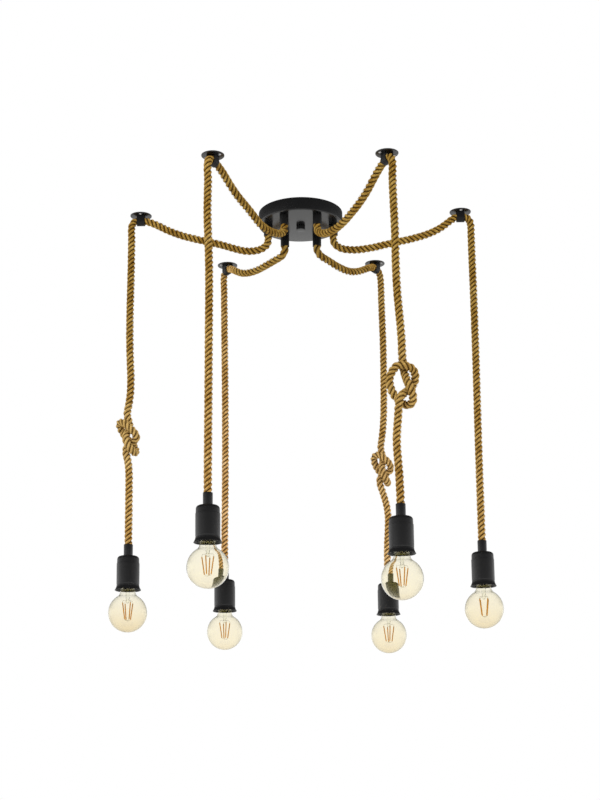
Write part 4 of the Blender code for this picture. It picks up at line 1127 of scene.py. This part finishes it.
# Studio: a plain pale floor well below the lamps, white all round, and no lamp
# that shows in the gloss. Polished pieces mirror the white floor below them, the
# walls, brightest beside the lamps, and the dim ceiling.
FLOOR = -2.4
FLOOR_SIZE = 9.0
STUDIO_LIGHT = 0.62  # what the walls give to the object
CEILING_LIGHT = 0.12
WALL_LIGHT = 1.15  # gained from the middle of the room to its back
WALL_SLANT = 0.25  # brighter to the left, darker to the right
WALL_MOST = 1.6
WALL_BACK = 0.35  # from here back the wall dims again, by BACK_DIM
WALL_TOP = 0.22  # as the sine of the angle above the level
CEILING_START = -0.10  # as that sine, where the floor's light starts to fade upwards
CEILING_SPAN = 0.37
TOP_SPAN = 0.13
BACK_SPAN = 0.4
BACK_DIM = 0.5
WALL_RISE = 4.0  # times as fast as the floor's light fades
FLOOR_GLOW = 0.36  # brings the floor near white without lighting the lamps
floor_mesh = bpy.data.meshes.new("floor")
floor_mesh.from_pydata([(x * FLOOR_SIZE, y * FLOOR_SIZE, FLOOR)
                        for x, y in ((-1, -1), (1, -1), (1, 1), (-1, 1))], [], [(0, 1, 2, 3)])
floor = placed("floor", floor_mesh)
pale = Finish("studio_floor", base_color=shade(236, 236, 234), roughness=0.9,
              emission_strength=1.0)
lighting = pale.node("LightPath", out="Is Diffuse Ray")
pale.set(emission_color=pale.mix((1 - lighting) * FLOOR_GLOW, (0, 0, 0, 1), (1, 1, 1, 1)))
floor_mesh.materials.append(pale.material)


def risen(value, start, span):
    """From 0 at the start to 1 a span further on."""
    return ((value - start) * (1 / span)).kept()


room = Finish("studio", bpy.data.worlds, "Background", color=(1, 1, 1, 1))
bpy.context.scene.world = room.material
seen = room.node("LightPath", out="Is Camera Ray").math(
    "MAXIMUM", room.node("LightPath", out="Is Transmission Ray"))
way = room.node("TexCoord", out="Generated")
right, behind, up = [room.part(way, axis) for axis in "XYZ"]
above = risen(up, CEILING_START, CEILING_SPAN)
wall = ((behind + 1) * WALL_LIGHT - right * WALL_SLANT).math("MINIMUM", WALL_MOST) * (
    1 - risen(behind, WALL_BACK, BACK_SPAN) * BACK_DIM)
walls = (above * WALL_RISE).math("MINIMUM", 1.0) * (1 - risen(up, WALL_TOP, TOP_SPAN)) * wall
gloss = 1 - above * (1 - CEILING_LIGHT) + walls
room.set(strength=STUDIO_LIGHT + seen * (1 - STUDIO_LIGHT)
         + room.node("LightPath", out="Is Glossy Ray") * (1 - seen) * (gloss - STUDIO_LIGHT))


def soft_box(name, place, target, size, power):
    """A square lamp that faces a target."""
    data = bpy.data.lights.new(name, "AREA")
    data.size = size
    data.energy = power
    lamp = placed(name, data)
    lamp.location = place
    lamp.rotation_mode = "QUATERNION"
    lamp.rotation_quaternion = (Vector(target) - Vector(place)).to_track_quat("-Z", "Y")
    lamp.visible_glossy = lamp.visible_transmission = False


soft_box("key", (-2.2, -2.6, 0.6), (0, 0, -0.5), 1.8, 60)
soft_box("fill", (2.6, -1.8, -0.2), (0, 0, -0.5), 1.8, 30)
soft_box("rim", (0.4, 2.8, 0.8), (0, 0, -0.4), 1.6, 40)
